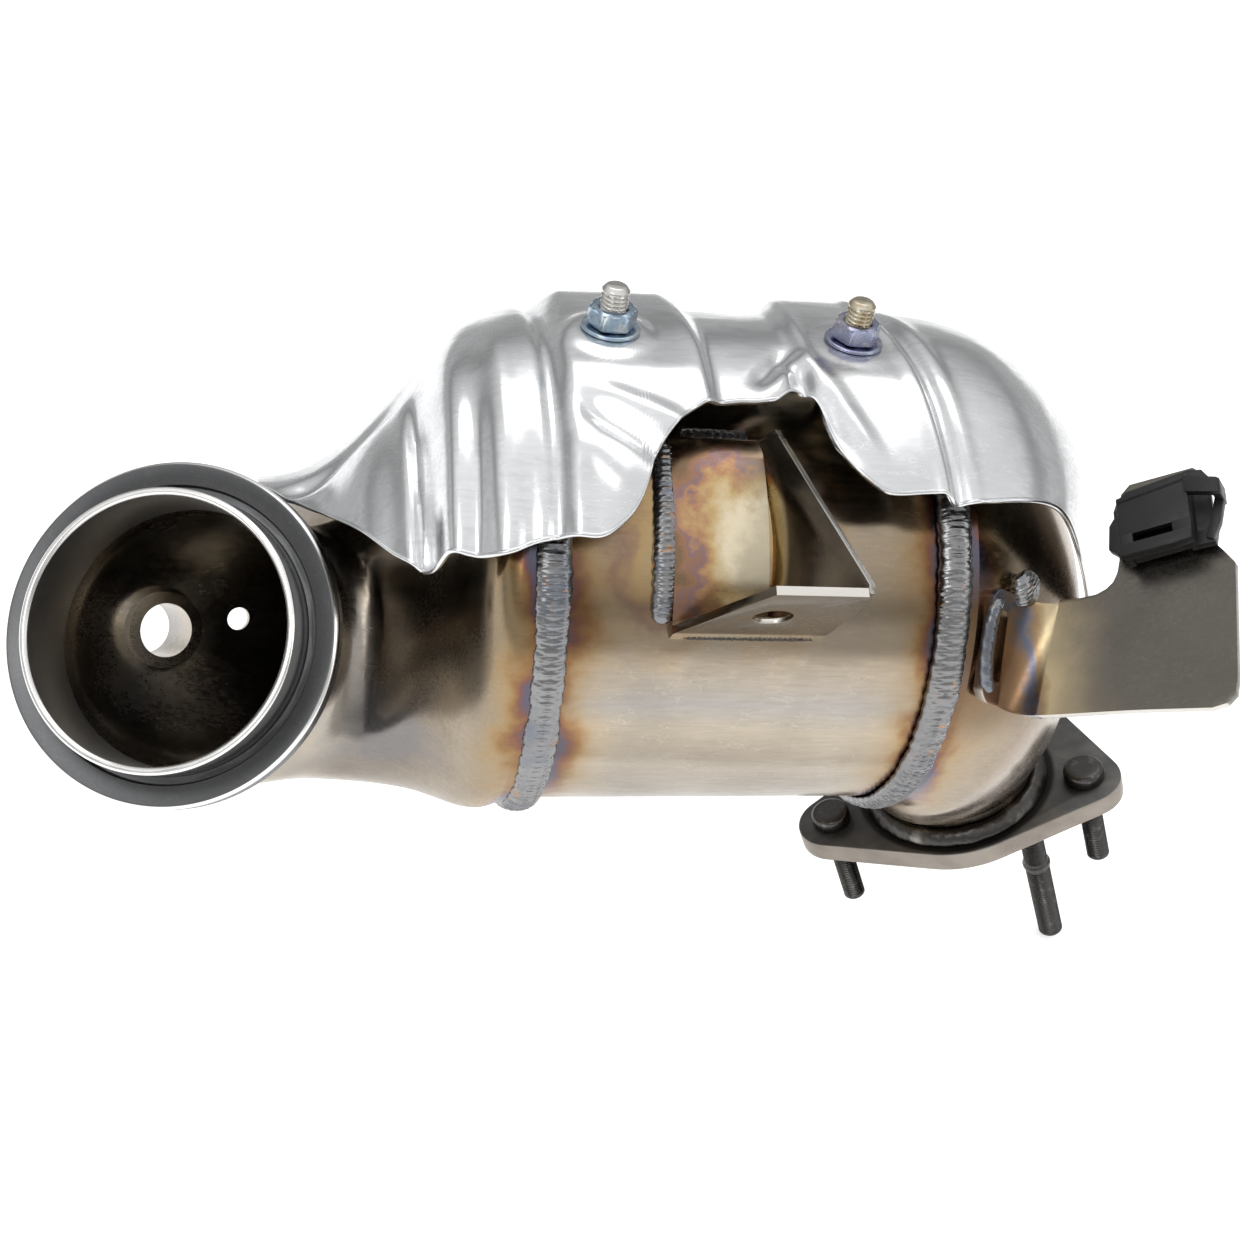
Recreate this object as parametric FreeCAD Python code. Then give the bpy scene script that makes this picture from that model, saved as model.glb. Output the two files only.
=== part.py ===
"""Exhaust catalytic converter: V-band inlet elbow, round can, angled outlet flange and heat shield.

Frame: millimetres, +Z up, origin at the centre of the inlet ring's front face.
+X runs along the can from inlet to outlet; the shield studs point to +Z.
"""
import FreeCAD, Part
import math
import os
from FreeCAD import Vector

# ---- driving dimensions -------------------------------------------------------------------
can_start = Vector(101.7, 28.4, 3.1)     # centre of the can's inlet end
can_dir = Vector(1, 0, 0)
can_radius = 68.6
can_length = 117.4
can_end = can_start + can_dir * can_length
can_wall = 1.5
slip = 6.0                                # how far the end cones slide over the can
mat_thickness = 4.0
brick_inset = 9.0                         # the mat and brick stop this far inside the can

mouth_dir = Vector(-0.352, -0.665, 0.659)
mouth_dir.normalize()
ring_depth = 14.0                         # front face to the rear of the ring
lip_height = 9.0
pipe_radius = 41.5
ring_radius = pipe_radius + 8.5
lip_radius = pipe_radius - 0.8
ring_bore = pipe_radius - 3.2
elbow_wall = 1.8
# the elbow's rings in its bend plane, from the mouth's centre: inner point, outer point (both as
# distance across and depth behind the mouth), and how far the ring hangs below that plane
elbow_rings = (((pipe_radius, 21.0), (-pipe_radius, 21.0), 0.0),
               ((pipe_radius + 3, 27.0), (1.5 - pipe_radius, 28.5), 0.0),
               ((50.0, 29.5), (-32.0, 43.0), 0.5), ((56.0, 28.5), (-16.0, 60.0), 1.0),
               ((66.0, 21.0), (8.0, 82.0), -1.5), ((80.0, 8.0), (33.0, 102.0), -9.0),
               ((93.0, -7.0), (45.0, 111.0), -16.0), ((102.5, -15.0), (53.5, 116.0), -20.5))

bead_height = 2.0                         # weld crown above the cone it sits on
bead_reach = 5.5                          # weld foot along the can
bead_back = 3.5                           # weld edge back over the cone
ball_latitude = 80.0                      # degrees; where a knob's round stops at its flats
small_bead = 3.0                          # leg of the smaller fillet welds

bung_place = Vector(-5.6, 44.0, -32.6)    # where its axis meets the elbow's wall
bung_dir = Vector(-0.46, 0.74, -0.49)     # outwards
bung_thread = 8.5
bung_radius = 12.0
bung_inside = 5.0
bung_outside = 12.0
probe_place = Vector(18.2, 53.8, -35.3)
probe_hole = 3.7

outlet_centre = can_end + Vector(53.2, 0, -86.9)
outlet_dir = Vector(0.42, -0.06, -0.905)  # the way the gas leaves
outlet_dir.normalize()
outlet_pipe = 28.5
outlet_wall = 1.8
outlet_straight = 8.0
flange_bore = outlet_pipe - outlet_wall     # the gas way runs on through the flange
# foot and crown of each ring of the outlet cone, in the XZ plane from the can's outlet centre
cone_rings = (((10.1, -74.0), (28.6, 58.0)), ((13.1, -79.0), (49.6, 40.0)),
              ((16.6, -84.5), (65.6, 8.0)), ((21.6, -90.5), (74.1, -34.0)))

flange_thickness = 8.0
flange_waist = 36.5                       # round stretch of the outline about the pipe
lobe_radius = 12.5
bolt_places = {"left": (46.5, 180.0), "right": (46.0, -24.0), "rear": (46.0, 50.0)}
bolt_radius = 4.0
bolt_head_radius = 7.0
bolt_head_height = 5.0
bolt_reach = 33.0                         # below the flange
shoulder_step = 0.4                       # the pressed-in shoulder is this much thicker than the thread
stud_radius = 5.0
stud_reach = 128.0
stud_plain = 84.0                         # unthreaded length below the flange

# the folded mounting bracket: along the can from its inlet end, and degrees round from +Z
bracket_left = 34.0
bracket_fold = 61.0
bracket_top = 20.5
bracket_foot = 66.0
bracket_sheet = 2.5
lug_angle = 35.0                          # the lug stands out this way
lug_corners = ((34.0, -6.0), (77.0, -6.0), (80.0, 34.0), (78.0, 38.0), (53.0, 38.0), (34.0, 3.0))
lug_hole_place = (57.5, 19.5)
lug_hole = 5.5
web_tip = Vector(62.8, -28.1, 72.2)       # top corner of the web, from the can's inlet centre
web_corner = Vector(80.0, -80.0, 57.0)

clip_origin = can_end + Vector(24.4, -64.9, 21.4)  # where the clip bracket's face meets its foot
clip_normal = Vector(-0.668, -0.367, 0.648)
clip_across = Vector(0.742, -0.396, 0.541)
clip_sheet = 3.5
clip_outline = ((-5.0, -15.0), (-3.0, -17.5), (52.0, -24.0), (57.0, -21.0), (58.6, -16.5), (62.0, 16.5),
                (60.0, 20.0), (57.0, 23.0), (57.2, 44.0), (54.5, 47.5), (37.0, 46.5), (33.0, 43.0),
                (30.5, 23.0), (27.0, 16.5), (21.0, 14.5), (4.8, 15.2), (-2.0, 16.4))
clip_foot_dir = Vector(0.42, -0.82, 0.39)  # outwards from the cone under the foot
clip_foot_width = 15.0
clip_foot_height = 33.0
tack_radius = 4.2

seat_height = 86.0                        # washer's underside above the can's axis

# the heat shield's hoops: place along X, centre (Y, Z), radius, front edge in degrees from +Z
shield_hoops = ((24, 26.0, -22.0, pipe_radius + 8.5, -14), (32, 26.0, -21.5, pipe_radius + 9.1, -3),
                (40, 26.3, -19.3, pipe_radius + 10.3, 10), (50, 26.7, -15.2, pipe_radius + 14.3, 25),
                (60, 27.1, -10.2, pipe_radius + 21, 38), (70, 27.6, -5.1, seat_height - 15.7, 46),
                (80, 28.0, -0.7, seat_height - 8, 49), (95, 28.4, 2.5, seat_height - 5.2, 49),
                (115, 28.4, 3.1, seat_height - 2.2, 47), (140, 28.4, 3.1, seat_height - 1.2, 44),
                (165, 28.4, 3.1, seat_height - 0.6, 42), (can_end.x - 29.1, 28.4, 3.1, seat_height - 0.4, 38),
                (can_end.x - 4.1, 28.4, 3.1, seat_height - 0.4, 39),
                (can_end.x + 15.9, 29.0, 3.5, seat_height - 3, 38),
                (can_end.x + 30.9, 31.0, 5.0, seat_height - 11.5, 42),
                (can_end.x + 42.9, 33.0, 7.0, seat_height - 23, 54),
                (can_end.x + 52.9, 35.0, 9.0, 50.0, 68), (can_end.x + 59.9, 36.0, 10.0, 38.0, 80))
shield_rear = -98.0
shield_sheet = 1.0
# the cut-out over the bracket: along the can, and across the sheet seen square on at window_angle
window_angle = 35.0
window_edge = ((12.0, -30.0), (17.5, -13.0), (22.0, -8.0), (26.5, 5.0), (31.0, 12.5), (40.0, 21.0),
               (51.0, 24.0), (62.0, 24.3), (71.5, 28.5), (76.0, 24.0), (80.0, 9.0), (88.0, -0.5),
               (97.0, -4.0), (99.0, -30.0))

nut_places = {"left": 18.8, "right": can_length - 26.5}  # along the can
pad_radius = 12.5
pad_height = 3.5                          # reaches down to the top of the post
post_radius = 7.0
shield_stud_radius = 4.0
shield_stud_reach = 10.5                  # above the washer's underside
washer_radius = 8.6
washer_thickness = 1.3
nut_across = 12.0
nut_height = 6.5
hole_clearance = 0.4


def unit(v):
    w = Vector(v)
    w.normalize()
    return w


def placed(centre, normal, hint=Vector(0, 1, 0)):
    """A placement whose Z is the normal and whose X lies nearest to the hint."""
    rotation = FreeCAD.Rotation(hint, Vector(), normal, "ZXY")
    return FreeCAD.Placement(centre, rotation)


def circle_poles(ring, inset):
    """The nine control points of a full circle given as (placement, radius)."""
    placement, radius = ring
    r = radius - inset
    corners = ((r, 0), (r, r), (0, r), (-r, r), (-r, 0), (-r, -r), (0, -r), (r, -r), (r, 0))
    return [placement.multVec(Vector(x, y, 0)) for x, y in corners]


def ring_wire(ring, inset):
    placement, radius = ring
    edge = Part.makeCircle(radius - inset)
    edge.Placement = placement
    return Part.Wire(edge)


def revolve_about(profile, centre, axis):
    """Revolve (radius, height) points about an axis through centre."""
    side = unit(axis.cross(Vector(0, 0, 1)))
    pts = [centre + side * r + axis * h for r, h in profile]
    face = Part.Face(Part.makePolygon(pts + [pts[0]]))
    return face.revolve(centre, axis, 360)


# ---- the elbow's bend plane ---------------------------------------------------------------
elbow_axis = mouth_dir * -1
elbow_across = unit(can_dir - elbow_axis * elbow_axis.dot(can_dir))
elbow_below = elbow_axis.cross(elbow_across)


def sewn(faces):
    """One closed solid from faces that meet edge to edge."""
    shell = Part.Shell(faces)
    shell.sewShape()
    solid = Part.Solid(shell)
    if solid.Volume < 0:
        solid.reverse()
    return solid


def smooth_skin(rings, inset):
    """One smooth face through a row of rings, each a true circle."""
    columns = list(zip(*[circle_poles(ring, inset) for ring in rings]))
    stations = [0.0]
    for (here, _), (there, _) in zip(rings, rings[1:]):
        stations.append(stations[-1] + max(2.0, (there.Base - here.Base).Length))
    poles = []
    for column in columns:
        curve = Part.BSplineCurve()
        curve.interpolate(Points=list(column), Parameters=stations)
        poles.append(curve.getPoles())
    half = math.sqrt(0.5)
    weights = [[half if i % 2 else 1.0] * len(poles[0]) for i in range(9)]
    surface = Part.BSplineSurface()
    surface.buildFromPolesMultsKnots(poles, [3, 2, 2, 2, 3], curve.getMultiplicities(), [0, 1, 2, 3, 4],
                                     curve.getKnots(), False, False, 2, curve.Degree, weights)
    return surface.toShape()


def hollow(rings, wall):
    """A thin-walled body over a row of rings, with a straight run at each end."""
    faces = []
    for inset in (0, wall):
        faces.append(smooth_skin(rings[1:-1], inset))
        for near, far in ((rings[0], rings[1]), (rings[-2], rings[-1])):
            faces += Part.makeLoft([ring_wire(near, inset), ring_wire(far, inset)], False, True).Faces
    for ring in (rings[0], rings[-1]):
        faces.append(Part.makeFace([ring_wire(ring, 0), ring_wire(ring, wall)], "Part::FaceMakerBullseye"))
    return sewn(faces)


def ring_across(inner, outer, square_to):
    """The round section with these two opposite points, in the plane square to the bend."""
    normal = unit(square_to.cross(outer - inner))
    return placed((inner + outer) / 2, normal, square_to), (outer - inner).Length / 2


def elbow_rows():
    rings = [(placed(elbow_axis * ring_depth, elbow_axis, elbow_below), pipe_radius)]
    for inner, outer, below in elbow_rings:
        ends = [elbow_across * x + elbow_axis * y + elbow_below * below for x, y in (inner, outer)]
        rings.append(ring_across(ends[0], ends[1], elbow_below))
    for back in (slip, 0):
        rings.append((placed(can_start - can_dir * back, can_dir, elbow_below), can_radius + elbow_wall))
    return rings


def elbow():
    return hollow(elbow_rows(), elbow_wall)


def can_shell():
    length = can_length + 2 * slip
    start = can_start - can_dir * slip
    outer = Part.makeCylinder(can_radius, length, start, can_dir)
    return outer.cut(Part.makeCylinder(can_radius - can_wall, length, start, can_dir))


def cone_rows():
    sideways = Vector(0, 1, 0)
    rings = [(placed(can_end + can_dir * on, can_dir, sideways), can_radius + outlet_wall)
             for on in (0, slip)]
    for (foot_x, foot_z), (crown_x, crown_z) in cone_rings:
        foot = can_end + Vector(foot_x, 0, foot_z)
        crown = can_end + Vector(crown_x, 0, crown_z)
        rings.append(ring_across(foot, crown, sideways))
    for back in (outlet_straight, 0):
        rings.append((placed(outlet_centre - outlet_dir * back, outlet_dir, sideways), outlet_pipe))
    return rings


def outlet_cone():
    return hollow(cone_rows(), outlet_wall)


# ---- frames used by several pieces --------------------------------------------------------
flange_across = unit(Vector(-outlet_dir.z, 0, outlet_dir.x))
flange_beyond = (outlet_dir * -1).cross(flange_across)
clip_up = clip_normal.cross(clip_across)


def radial(degrees):
    """The direction square to the can at this many degrees from +Z towards -Y."""
    return Vector(0, -math.sin(math.radians(degrees)), math.cos(math.radians(degrees)))


def on_can(along, degrees, radius):
    return can_start + can_dir * along + radial(degrees) * radius


def prism(points, direction):
    """A flat plate over an outline of straight sides."""
    return Part.Face(Part.makePolygon(list(points) + [points[0]])).extrude(direction)


def disc(centre, axis, radius, height):
    return Part.makeCylinder(radius, height, centre, axis)


def ball(centre, axis, radius):
    """A round knob with a small flat at each pole."""
    return Part.makeSphere(radius, centre, axis, -ball_latitude, ball_latitude, 360)


def can_body():
    return disc(can_start - can_dir * slip, can_dir, can_radius, can_length + 2 * slip)


def filled(rings):
    """The solid that a hollow row of rings encloses, skin included."""
    faces = [smooth_skin(rings[1:-1], 0)]
    for near, far in ((rings[0], rings[1]), (rings[-2], rings[-1])):
        faces += Part.makeLoft([ring_wire(near, 0), ring_wire(far, 0)], False, True).Faces
    return sewn(faces + [Part.Face(ring_wire(ring, 0)) for ring in (rings[0], rings[-1])])


# ---- inlet --------------------------------------------------------------------------------
def inlet_ring():
    """V-band ring: bore, spigot lip, groove, dished face and the clamp's slope behind."""
    rear = -ring_depth
    profile = [(ring_bore, rear), (ring_bore, lip_height - 0.8), (ring_bore + 0.8, lip_height),
               (lip_radius - 0.6, lip_height), (lip_radius, lip_height - 0.6), (lip_radius, -3.0),
               (lip_radius + 2.2, -3.0), (lip_radius + 2.6, -1.4), (ring_radius - 1.0, 0.0),
               (ring_radius, -1.0), (ring_radius, -5.0), (ring_radius - 4.0, -11.0),
               (ring_radius - 4.0, rear)]
    return revolve_about(profile, Vector(), mouth_dir)


def inlet_ring_weld():
    """Fillet between the back of the ring and the elbow's pipe."""
    rear = -ring_depth
    leg = small_bead
    profile = [(pipe_radius, rear), (pipe_radius + leg, rear),
               (pipe_radius + leg * 0.65, rear - leg * 0.65), (pipe_radius, rear - leg)]
    return revolve_about(profile, Vector(), mouth_dir)


def inlet_elbow():
    hole = disc(bung_place - unit(bung_dir) * 20, unit(bung_dir), bung_radius, 40)
    wall_out = Vector(-0.38, 0.77, -0.51)
    probe = disc(probe_place - wall_out * 6, wall_out, probe_hole, 12)
    return elbow().cut(hole).cut(probe)


def sensor_bung():
    axis = unit(bung_dir)
    start = bung_place - axis * bung_inside
    length = bung_inside + bung_outside
    body = disc(start, axis, bung_radius, length)
    return body.cut(disc(start, axis, bung_thread, length))


def sensor_bung_weld():
    """Round weld on the outside of the elbow about the bung."""
    axis = unit(bung_dir)
    ring = Part.makeTorus(bung_radius, small_bead, bung_place + axis * 1.0, axis)
    keep = disc(bung_place - axis * 6, axis, bung_radius + 8, 14)
    bead = keep.common(ring).cut(filled(elbow_rows()))
    return bead.cut(disc(bung_place - axis * 20, axis, bung_radius, 40))


# ---- the can ------------------------------------------------------------------------------
def support_mat():
    start = can_start + can_dir * brick_inset
    length = can_length - 2 * brick_inset
    outer = disc(start, can_dir, can_radius - can_wall, length)
    return outer.cut(disc(start, can_dir, can_radius - can_wall - mat_thickness, length))


def catalyst_brick():
    start = can_start + can_dir * brick_inset
    return disc(start, can_dir, can_radius - can_wall - mat_thickness, can_length - 2 * brick_inset)


def seam_weld(lip, towards):
    """Bead over the lip of a cone and down on to the can."""
    shoulder = can_radius + elbow_wall
    profile = [(can_radius, 0.0), (shoulder, 0.0), (shoulder, -bead_back),
               (shoulder + bead_height * 0.7, -2.0), (shoulder + bead_height, 0.5),
               (shoulder + bead_height * 0.4, 3.0), (can_radius, bead_reach)]
    return revolve_about(profile, lip, towards)


def inlet_seam_weld():
    return seam_weld(can_start, can_dir)


def outlet_seam_weld():
    return seam_weld(can_start + can_dir * can_length, can_dir * -1)


# ---- outlet -------------------------------------------------------------------------------
def outlet_flange_weld():
    """Heavy round weld between the outlet pipe and the flange."""
    leg = 4.8
    profile = [(outlet_pipe, 0.0), (outlet_pipe + leg, 0.0), (outlet_pipe + leg * 0.85, leg * 0.5),
               (outlet_pipe + leg * 0.4, leg * 0.9), (outlet_pipe, leg)]
    return revolve_about(profile, outlet_centre, outlet_dir * -1)


def flange_point(radius, degrees):
    a = math.radians(degrees)
    return outlet_centre + flange_across * (radius * math.cos(a)) + flange_beyond * (radius * math.sin(a))


def outer_tangent(first, second):
    """Ends of the straight side that runs outside two round corners, taken anticlockwise."""
    (c0, r0), (c1, r1) = first, second
    line = c1 - c0
    span = line.Length
    u = line * (1 / span)
    out = u.cross(outlet_dir * -1)
    lean = (r0 - r1) / span
    normal = out * math.sqrt(1 - lean * lean) + u * lean
    return c0 + normal * r0, c1 + normal * r1


def flange_outline():
    """Three lobes, with the pipe's own roundness between the two at the front."""
    left, right, rear = [flange_point(*bolt_places[name]) for name in ("left", "right", "rear")]
    corners = [(left, lobe_radius), (outlet_centre, flange_waist), (right, lobe_radius),
               (rear, lobe_radius)]
    sides = [outer_tangent(corners[i], corners[(i + 1) % 4]) for i in range(4)]
    edges = []
    for i in range(4):
        centre, radius = corners[(i + 1) % 4]
        start, end = sides[i][1], sides[(i + 1) % 4][0]
        middle = centre + unit((start + end) * 0.5 - centre) * radius
        edges.append(Part.makeLine(sides[i][0], sides[i][1]))
        edges.append(Part.Arc(start, middle, end).toShape())
    return Part.Wire(edges)


def outlet_flange():
    plate = Part.Face(flange_outline()).extrude(outlet_dir * flange_thickness)
    plate = plate.cut(disc(outlet_centre - outlet_dir, outlet_dir, flange_bore, flange_thickness + 2))
    for name, radius in (("left", bolt_radius), ("right", bolt_radius), ("rear", stud_radius)):
        top = flange_point(*bolt_places[name]) - outlet_dir
        plate = plate.cut(disc(top, outlet_dir, radius + shoulder_step, flange_thickness + 2))
    return plate


def headed_shank(name, radius, reach):
    """Round head on the flange, a pressed-in shoulder through it, a shank and a rounded end."""
    seat = flange_point(*bolt_places[name])
    length = flange_thickness + reach
    head = disc(seat - outlet_dir * bolt_head_height, outlet_dir, bolt_head_radius, bolt_head_height)
    top = head.Faces[0]
    for face in head.Faces:
        if face.CenterOfMass.sub(seat - outlet_dir * bolt_head_height).Length < 0.01:
            top = face
    head = head.makeFillet(1.0, top.Edges)
    shank = disc(seat, outlet_dir, radius, length - radius)
    shoulder = disc(seat, outlet_dir, radius + shoulder_step, flange_thickness)
    tip = ball(seat + outlet_dir * (length - radius), outlet_dir, radius)
    return head.fuse([shoulder, shank, tip]).removeSplitter()


def flange_bolt_left():
    return headed_shank("left", bolt_radius, bolt_reach)


def flange_bolt_right():
    return headed_shank("right", bolt_radius, bolt_reach)


def outlet_long_stud():
    body = headed_shank("rear", stud_radius, stud_reach)
    collar = disc(flange_point(*bolt_places["rear"]) + outlet_dir * (flange_thickness + stud_plain),
                  outlet_dir, stud_radius + 0.6, 1.6)
    return body.fuse(collar).removeSplitter()


# ---- mounting bracket ---------------------------------------------------------------------
def lug_point(along, out):
    return on_can(along, bracket_foot, can_radius) + radial(lug_angle) * out


def mount_bracket():
    """Curved foot on the can, a slanted web and a drilled lug, folded from one sheet."""
    foot_outer = disc(on_can(bracket_left, 0, 0), can_dir, can_radius + bracket_sheet,
                      bracket_fold - bracket_left)
    spread = [on_can(bracket_left, bracket_top, 120), on_can(bracket_left, bracket_foot, 120),
              on_can(bracket_left, 0, 0)]
    foot = foot_outer.common(prism(spread, can_dir * (bracket_fold - bracket_left)))
    lug_up = radial(lug_angle).cross(can_dir) * -1
    lug = prism([lug_point(x, out) for x, out in lug_corners], lug_up * bracket_sheet)
    hole_at = lug_point(*lug_hole_place)
    lug = lug.cut(disc(hole_at - lug_up * 5, lug_up, lug_hole, 12))
    countersink = Part.makeCone(lug_hole + 1.8, lug_hole, 1.2, hole_at, lug_up)
    lug = lug.cut(countersink)
    top = on_can(bracket_fold - 2.5, bracket_top, can_radius)
    low = on_can(bracket_fold, bracket_foot - 3, can_radius)
    tip = can_start + web_tip
    corner = can_start + web_corner
    normal = unit((low - top).cross(corner - top))
    if normal.x < 0:
        normal = normal * -1
    outline = [top - radial(bracket_top) * 4, tip, corner, lug_point(79.0, 34.0), lug_point(70.0, -4.0),
               low - radial(bracket_foot) * 4]
    flat = [point - normal * normal.dot(point - top) for point in outline]
    web = prism(flat, normal * bracket_sheet)
    return foot.fuse([lug, web]).cut(can_body()).removeSplitter()


def bar_weld(points, radius):
    """A row of round runs laid on the can along these points."""
    shape = ball(points[0], points[1] - points[0], radius)
    for a, b in zip(points, points[1:]):
        run = Part.makeCylinder(radius, (b - a).Length, a, b - a)
        shape = shape.fuse([run, ball(b, b - a, radius)])
    return shape


def bracket_welds():
    """The three runs round the foot of the bracket: left side, top and under the lug."""
    bracket = mount_bracket()
    steps = 5
    low = bracket_foot - 2
    side = [on_can(bracket_left - 1.5, bracket_top + (low - bracket_top) * i / steps, can_radius + 1)
            for i in range(steps + 1)]
    top = [on_can(bracket_left + 4, bracket_top - 1.5, can_radius + 1),
           on_can(bracket_fold - 4, bracket_top - 1.5, can_radius + 1)]
    under = [on_can(bracket_left + 3, bracket_foot + 1.6, can_radius + 0.3),
             on_can(76.0, bracket_foot + 1.6, can_radius + 0.3)]
    runs = {"side": (side, 3.0), "top": (top, 2.6), "under": (under, 1.8)}
    return {name: bar_weld(points, radius).cut(can_body()).cut(bracket)
            for name, (points, radius) in runs.items()}


def bracket_weld_side():
    return bracket_welds()["side"]


def bracket_weld_top():
    return bracket_welds()["top"]


def bracket_weld_under():
    return bracket_welds()["under"]


# ---- clip bracket -------------------------------------------------------------------------
def on_clip(a, b, out=0.0):
    return clip_origin + clip_across * a + clip_up * b + clip_normal * out


def foot_frame():
    """Centre, outward, upward and sideways directions of the clip bracket's foot."""
    out = unit(clip_foot_dir)
    up = unit(clip_up - out * clip_up.dot(out))
    return clip_origin, out, up, up.cross(out)


def clip_bracket():
    """Plate that carries the cable clip, with a slotted foot on the outlet cone."""
    plate = prism([on_clip(a, b) for a, b in clip_outline], clip_normal * -clip_sheet)
    origin, out, up, side = foot_frame()
    if side.dot(clip_across) > 0:
        side = side * -1
    half = clip_foot_height / 2
    corners = [origin - up * half, origin + up * half, origin + up * half + side * clip_foot_width,
               origin - up * half + side * clip_foot_width]
    foot = prism([p - out * 2 for p in corners], out * -6)
    slot_mid = origin + side * (clip_foot_width * 0.6)
    slot = [slot_mid + up * 11 + side * 2.5, slot_mid + up * 11 - side * 2.5,
            slot_mid - up * 11 - side * 2.5, slot_mid - up * 11 + side * 2.5]
    foot = foot.cut(prism([p + out * 4 for p in slot], out * -14))
    return plate.fuse(foot).cut(filled(cone_rows())).removeSplitter()


def clip_bracket_weld():
    """Plug weld that fills the slot in the clip bracket's foot."""
    origin, out, up, side = foot_frame()
    if side.dot(clip_across) > 0:
        side = side * -1
    mid = origin + side * (clip_foot_width * 0.6) - out * 3.5
    run = bar_weld([mid + up * 9, mid - up * 9], 2.4)
    return run.cut(filled(cone_rows())).cut(clip_bracket())


def clip_bracket_tack():
    """Blob of weld over the top corner of the foot."""
    origin, out, up, side = foot_frame()
    if side.dot(clip_across) > 0:
        side = side * -1
    mid = origin + side * (clip_foot_width * 0.45) + up * (clip_foot_height / 2 + 1.5) - out * 4
    return ball(mid, out, tack_radius).cut(filled(cone_rows())).cut(clip_bracket())


def connector_clip():
    """Plastic cable clip pushed on to the bracket's tab."""
    def block(a0, a1, b0, b1, low, high):
        corners = ((a0, b0), (a1, b0), (a1, b1), (a0, b1))
        return prism([on_clip(a, b, low) for a, b in corners], clip_normal * (high - low))
    body = block(30.5, 56.5, 24.5, 45.5, 0.0, 2.6)
    body = body.fuse([block(33.5, 50.5, 21.5, 40.5, 2.0, 11.5), block(28.6, 34.0, 25.0, 35.0, 1.0, 7.0),
                      block(50.0, 60.0, 32.0, 37.5, 4.5, 9.0), block(57.6, 60.0, 22.0, 37.5, 4.5, 9.0),
                      block(50.0, 60.0, 20.5, 23.5, 4.5, 9.0)])
    return body.cut(block(35.5, 46.5, 20.0, 37.0, 5.0, 8.5)).removeSplitter()


# ---- heat shield --------------------------------------------------------------------------
def hoop_points(hoop, inset):
    x, y, z, radius, front = hoop
    r = radius - inset
    count = 14
    spread = [front + (shield_rear - front) * i / count for i in range(count + 1)]
    return [Vector(x, y, z) + radial(a) * r for a in spread]


def shield_sheet_solid():
    faces = []
    rims = []
    for inset in (0, shield_sheet):
        surface = Part.BSplineSurface()
        surface.interpolate([hoop_points(hoop, inset) for hoop in shield_hoops])
        faces.append(surface.toShape())
        u0, u1, v0, v1 = surface.bounds()
        rims.append([surface.uIso(u0).toShape(), surface.uIso(u1).toShape(),
                     surface.vIso(v0).toShape(), surface.vIso(v1).toShape()])
    for outer, inner in zip(*rims):
        faces.append(Part.makeRuledSurface(outer, inner))
    return sewn(faces)


def heat_shield():
    """Pressed cover with a scalloped edge, two stud pads and a cut-out over the bracket."""
    sheet = shield_sheet_solid()
    up = can_dir.cross(radial(window_angle)) * -1
    if up.z < 0:
        up = up * -1
    points = [can_start + can_dir * x + up * v for x, v in window_edge]
    curve = Part.BSplineCurve()
    curve.interpolate(points)
    outline = Part.Wire([curve.toShape(), Part.makeLine(points[-1], points[0])])
    sheet = sheet.cut(Part.Face(outline).extrude(radial(window_angle) * 120))
    for along in nut_places.values():
        seat = on_can(along, 0, seat_height)
        sheet = sheet.cut(disc(seat, radial(0), pad_radius, 4))
        sheet = sheet.fuse(disc(seat - radial(0) * pad_height, radial(0), pad_radius, pad_height))
        sheet = sheet.cut(disc(on_can(along, 0, 60), radial(0), shield_stud_radius + hole_clearance, 40))
    return sheet.removeSplitter()


def shield_stud(side):
    """Stud welded to the can: thick post below the shield, thin end through it."""
    along = nut_places[side]
    root = can_radius - 6
    post = disc(on_can(along, 0, root), radial(0), post_radius, seat_height - pad_height - root)
    top = seat_height + shield_stud_reach
    end = disc(on_can(along, 0, can_radius), radial(0), shield_stud_radius, top - can_radius)
    return post.fuse(end).cut(can_body()).removeSplitter()


def shield_washer(side):
    seat = on_can(nut_places[side], 0, seat_height)
    washer = disc(seat, radial(0), washer_radius, washer_thickness)
    return washer.cut(disc(seat, radial(0), shield_stud_radius + hole_clearance, washer_thickness))


def shield_nut(side):
    seat = on_can(nut_places[side], 0, seat_height + washer_thickness)
    corner = nut_across / math.sqrt(3)
    turns = [math.radians(60 * i) for i in range(6)]
    points = [seat + Vector(math.cos(a), math.sin(a), 0) * corner for a in turns]
    nut = prism(points, radial(0) * nut_height)
    dome = Part.makeCone(corner + 1.0, corner - 1.4, nut_height + 1.2, seat, radial(0))
    nut = nut.common(dome)
    return nut.cut(disc(seat, radial(0), shield_stud_radius, nut_height))


PARTS = {
    "inlet_ring": inlet_ring, "inlet_ring_weld": inlet_ring_weld, "inlet_elbow": inlet_elbow,
    "sensor_bung": sensor_bung, "sensor_bung_weld": sensor_bung_weld, "inlet_seam_weld": inlet_seam_weld,
    "can_shell": can_shell, "support_mat": support_mat, "catalyst_brick": catalyst_brick,
    "outlet_seam_weld": outlet_seam_weld, "outlet_cone": outlet_cone,
    "outlet_flange_weld": outlet_flange_weld, "outlet_flange": outlet_flange,
    "flange_bolt_left": flange_bolt_left, "flange_bolt_right": flange_bolt_right,
    "outlet_long_stud": outlet_long_stud, "mount_bracket": mount_bracket,
    "bracket_weld_side": bracket_weld_side, "bracket_weld_top": bracket_weld_top,
    "bracket_weld_under": bracket_weld_under, "clip_bracket": clip_bracket,
    "clip_bracket_weld": clip_bracket_weld, "clip_bracket_tack": clip_bracket_tack,
    "connector_clip": connector_clip, "heat_shield": heat_shield,
}
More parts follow.
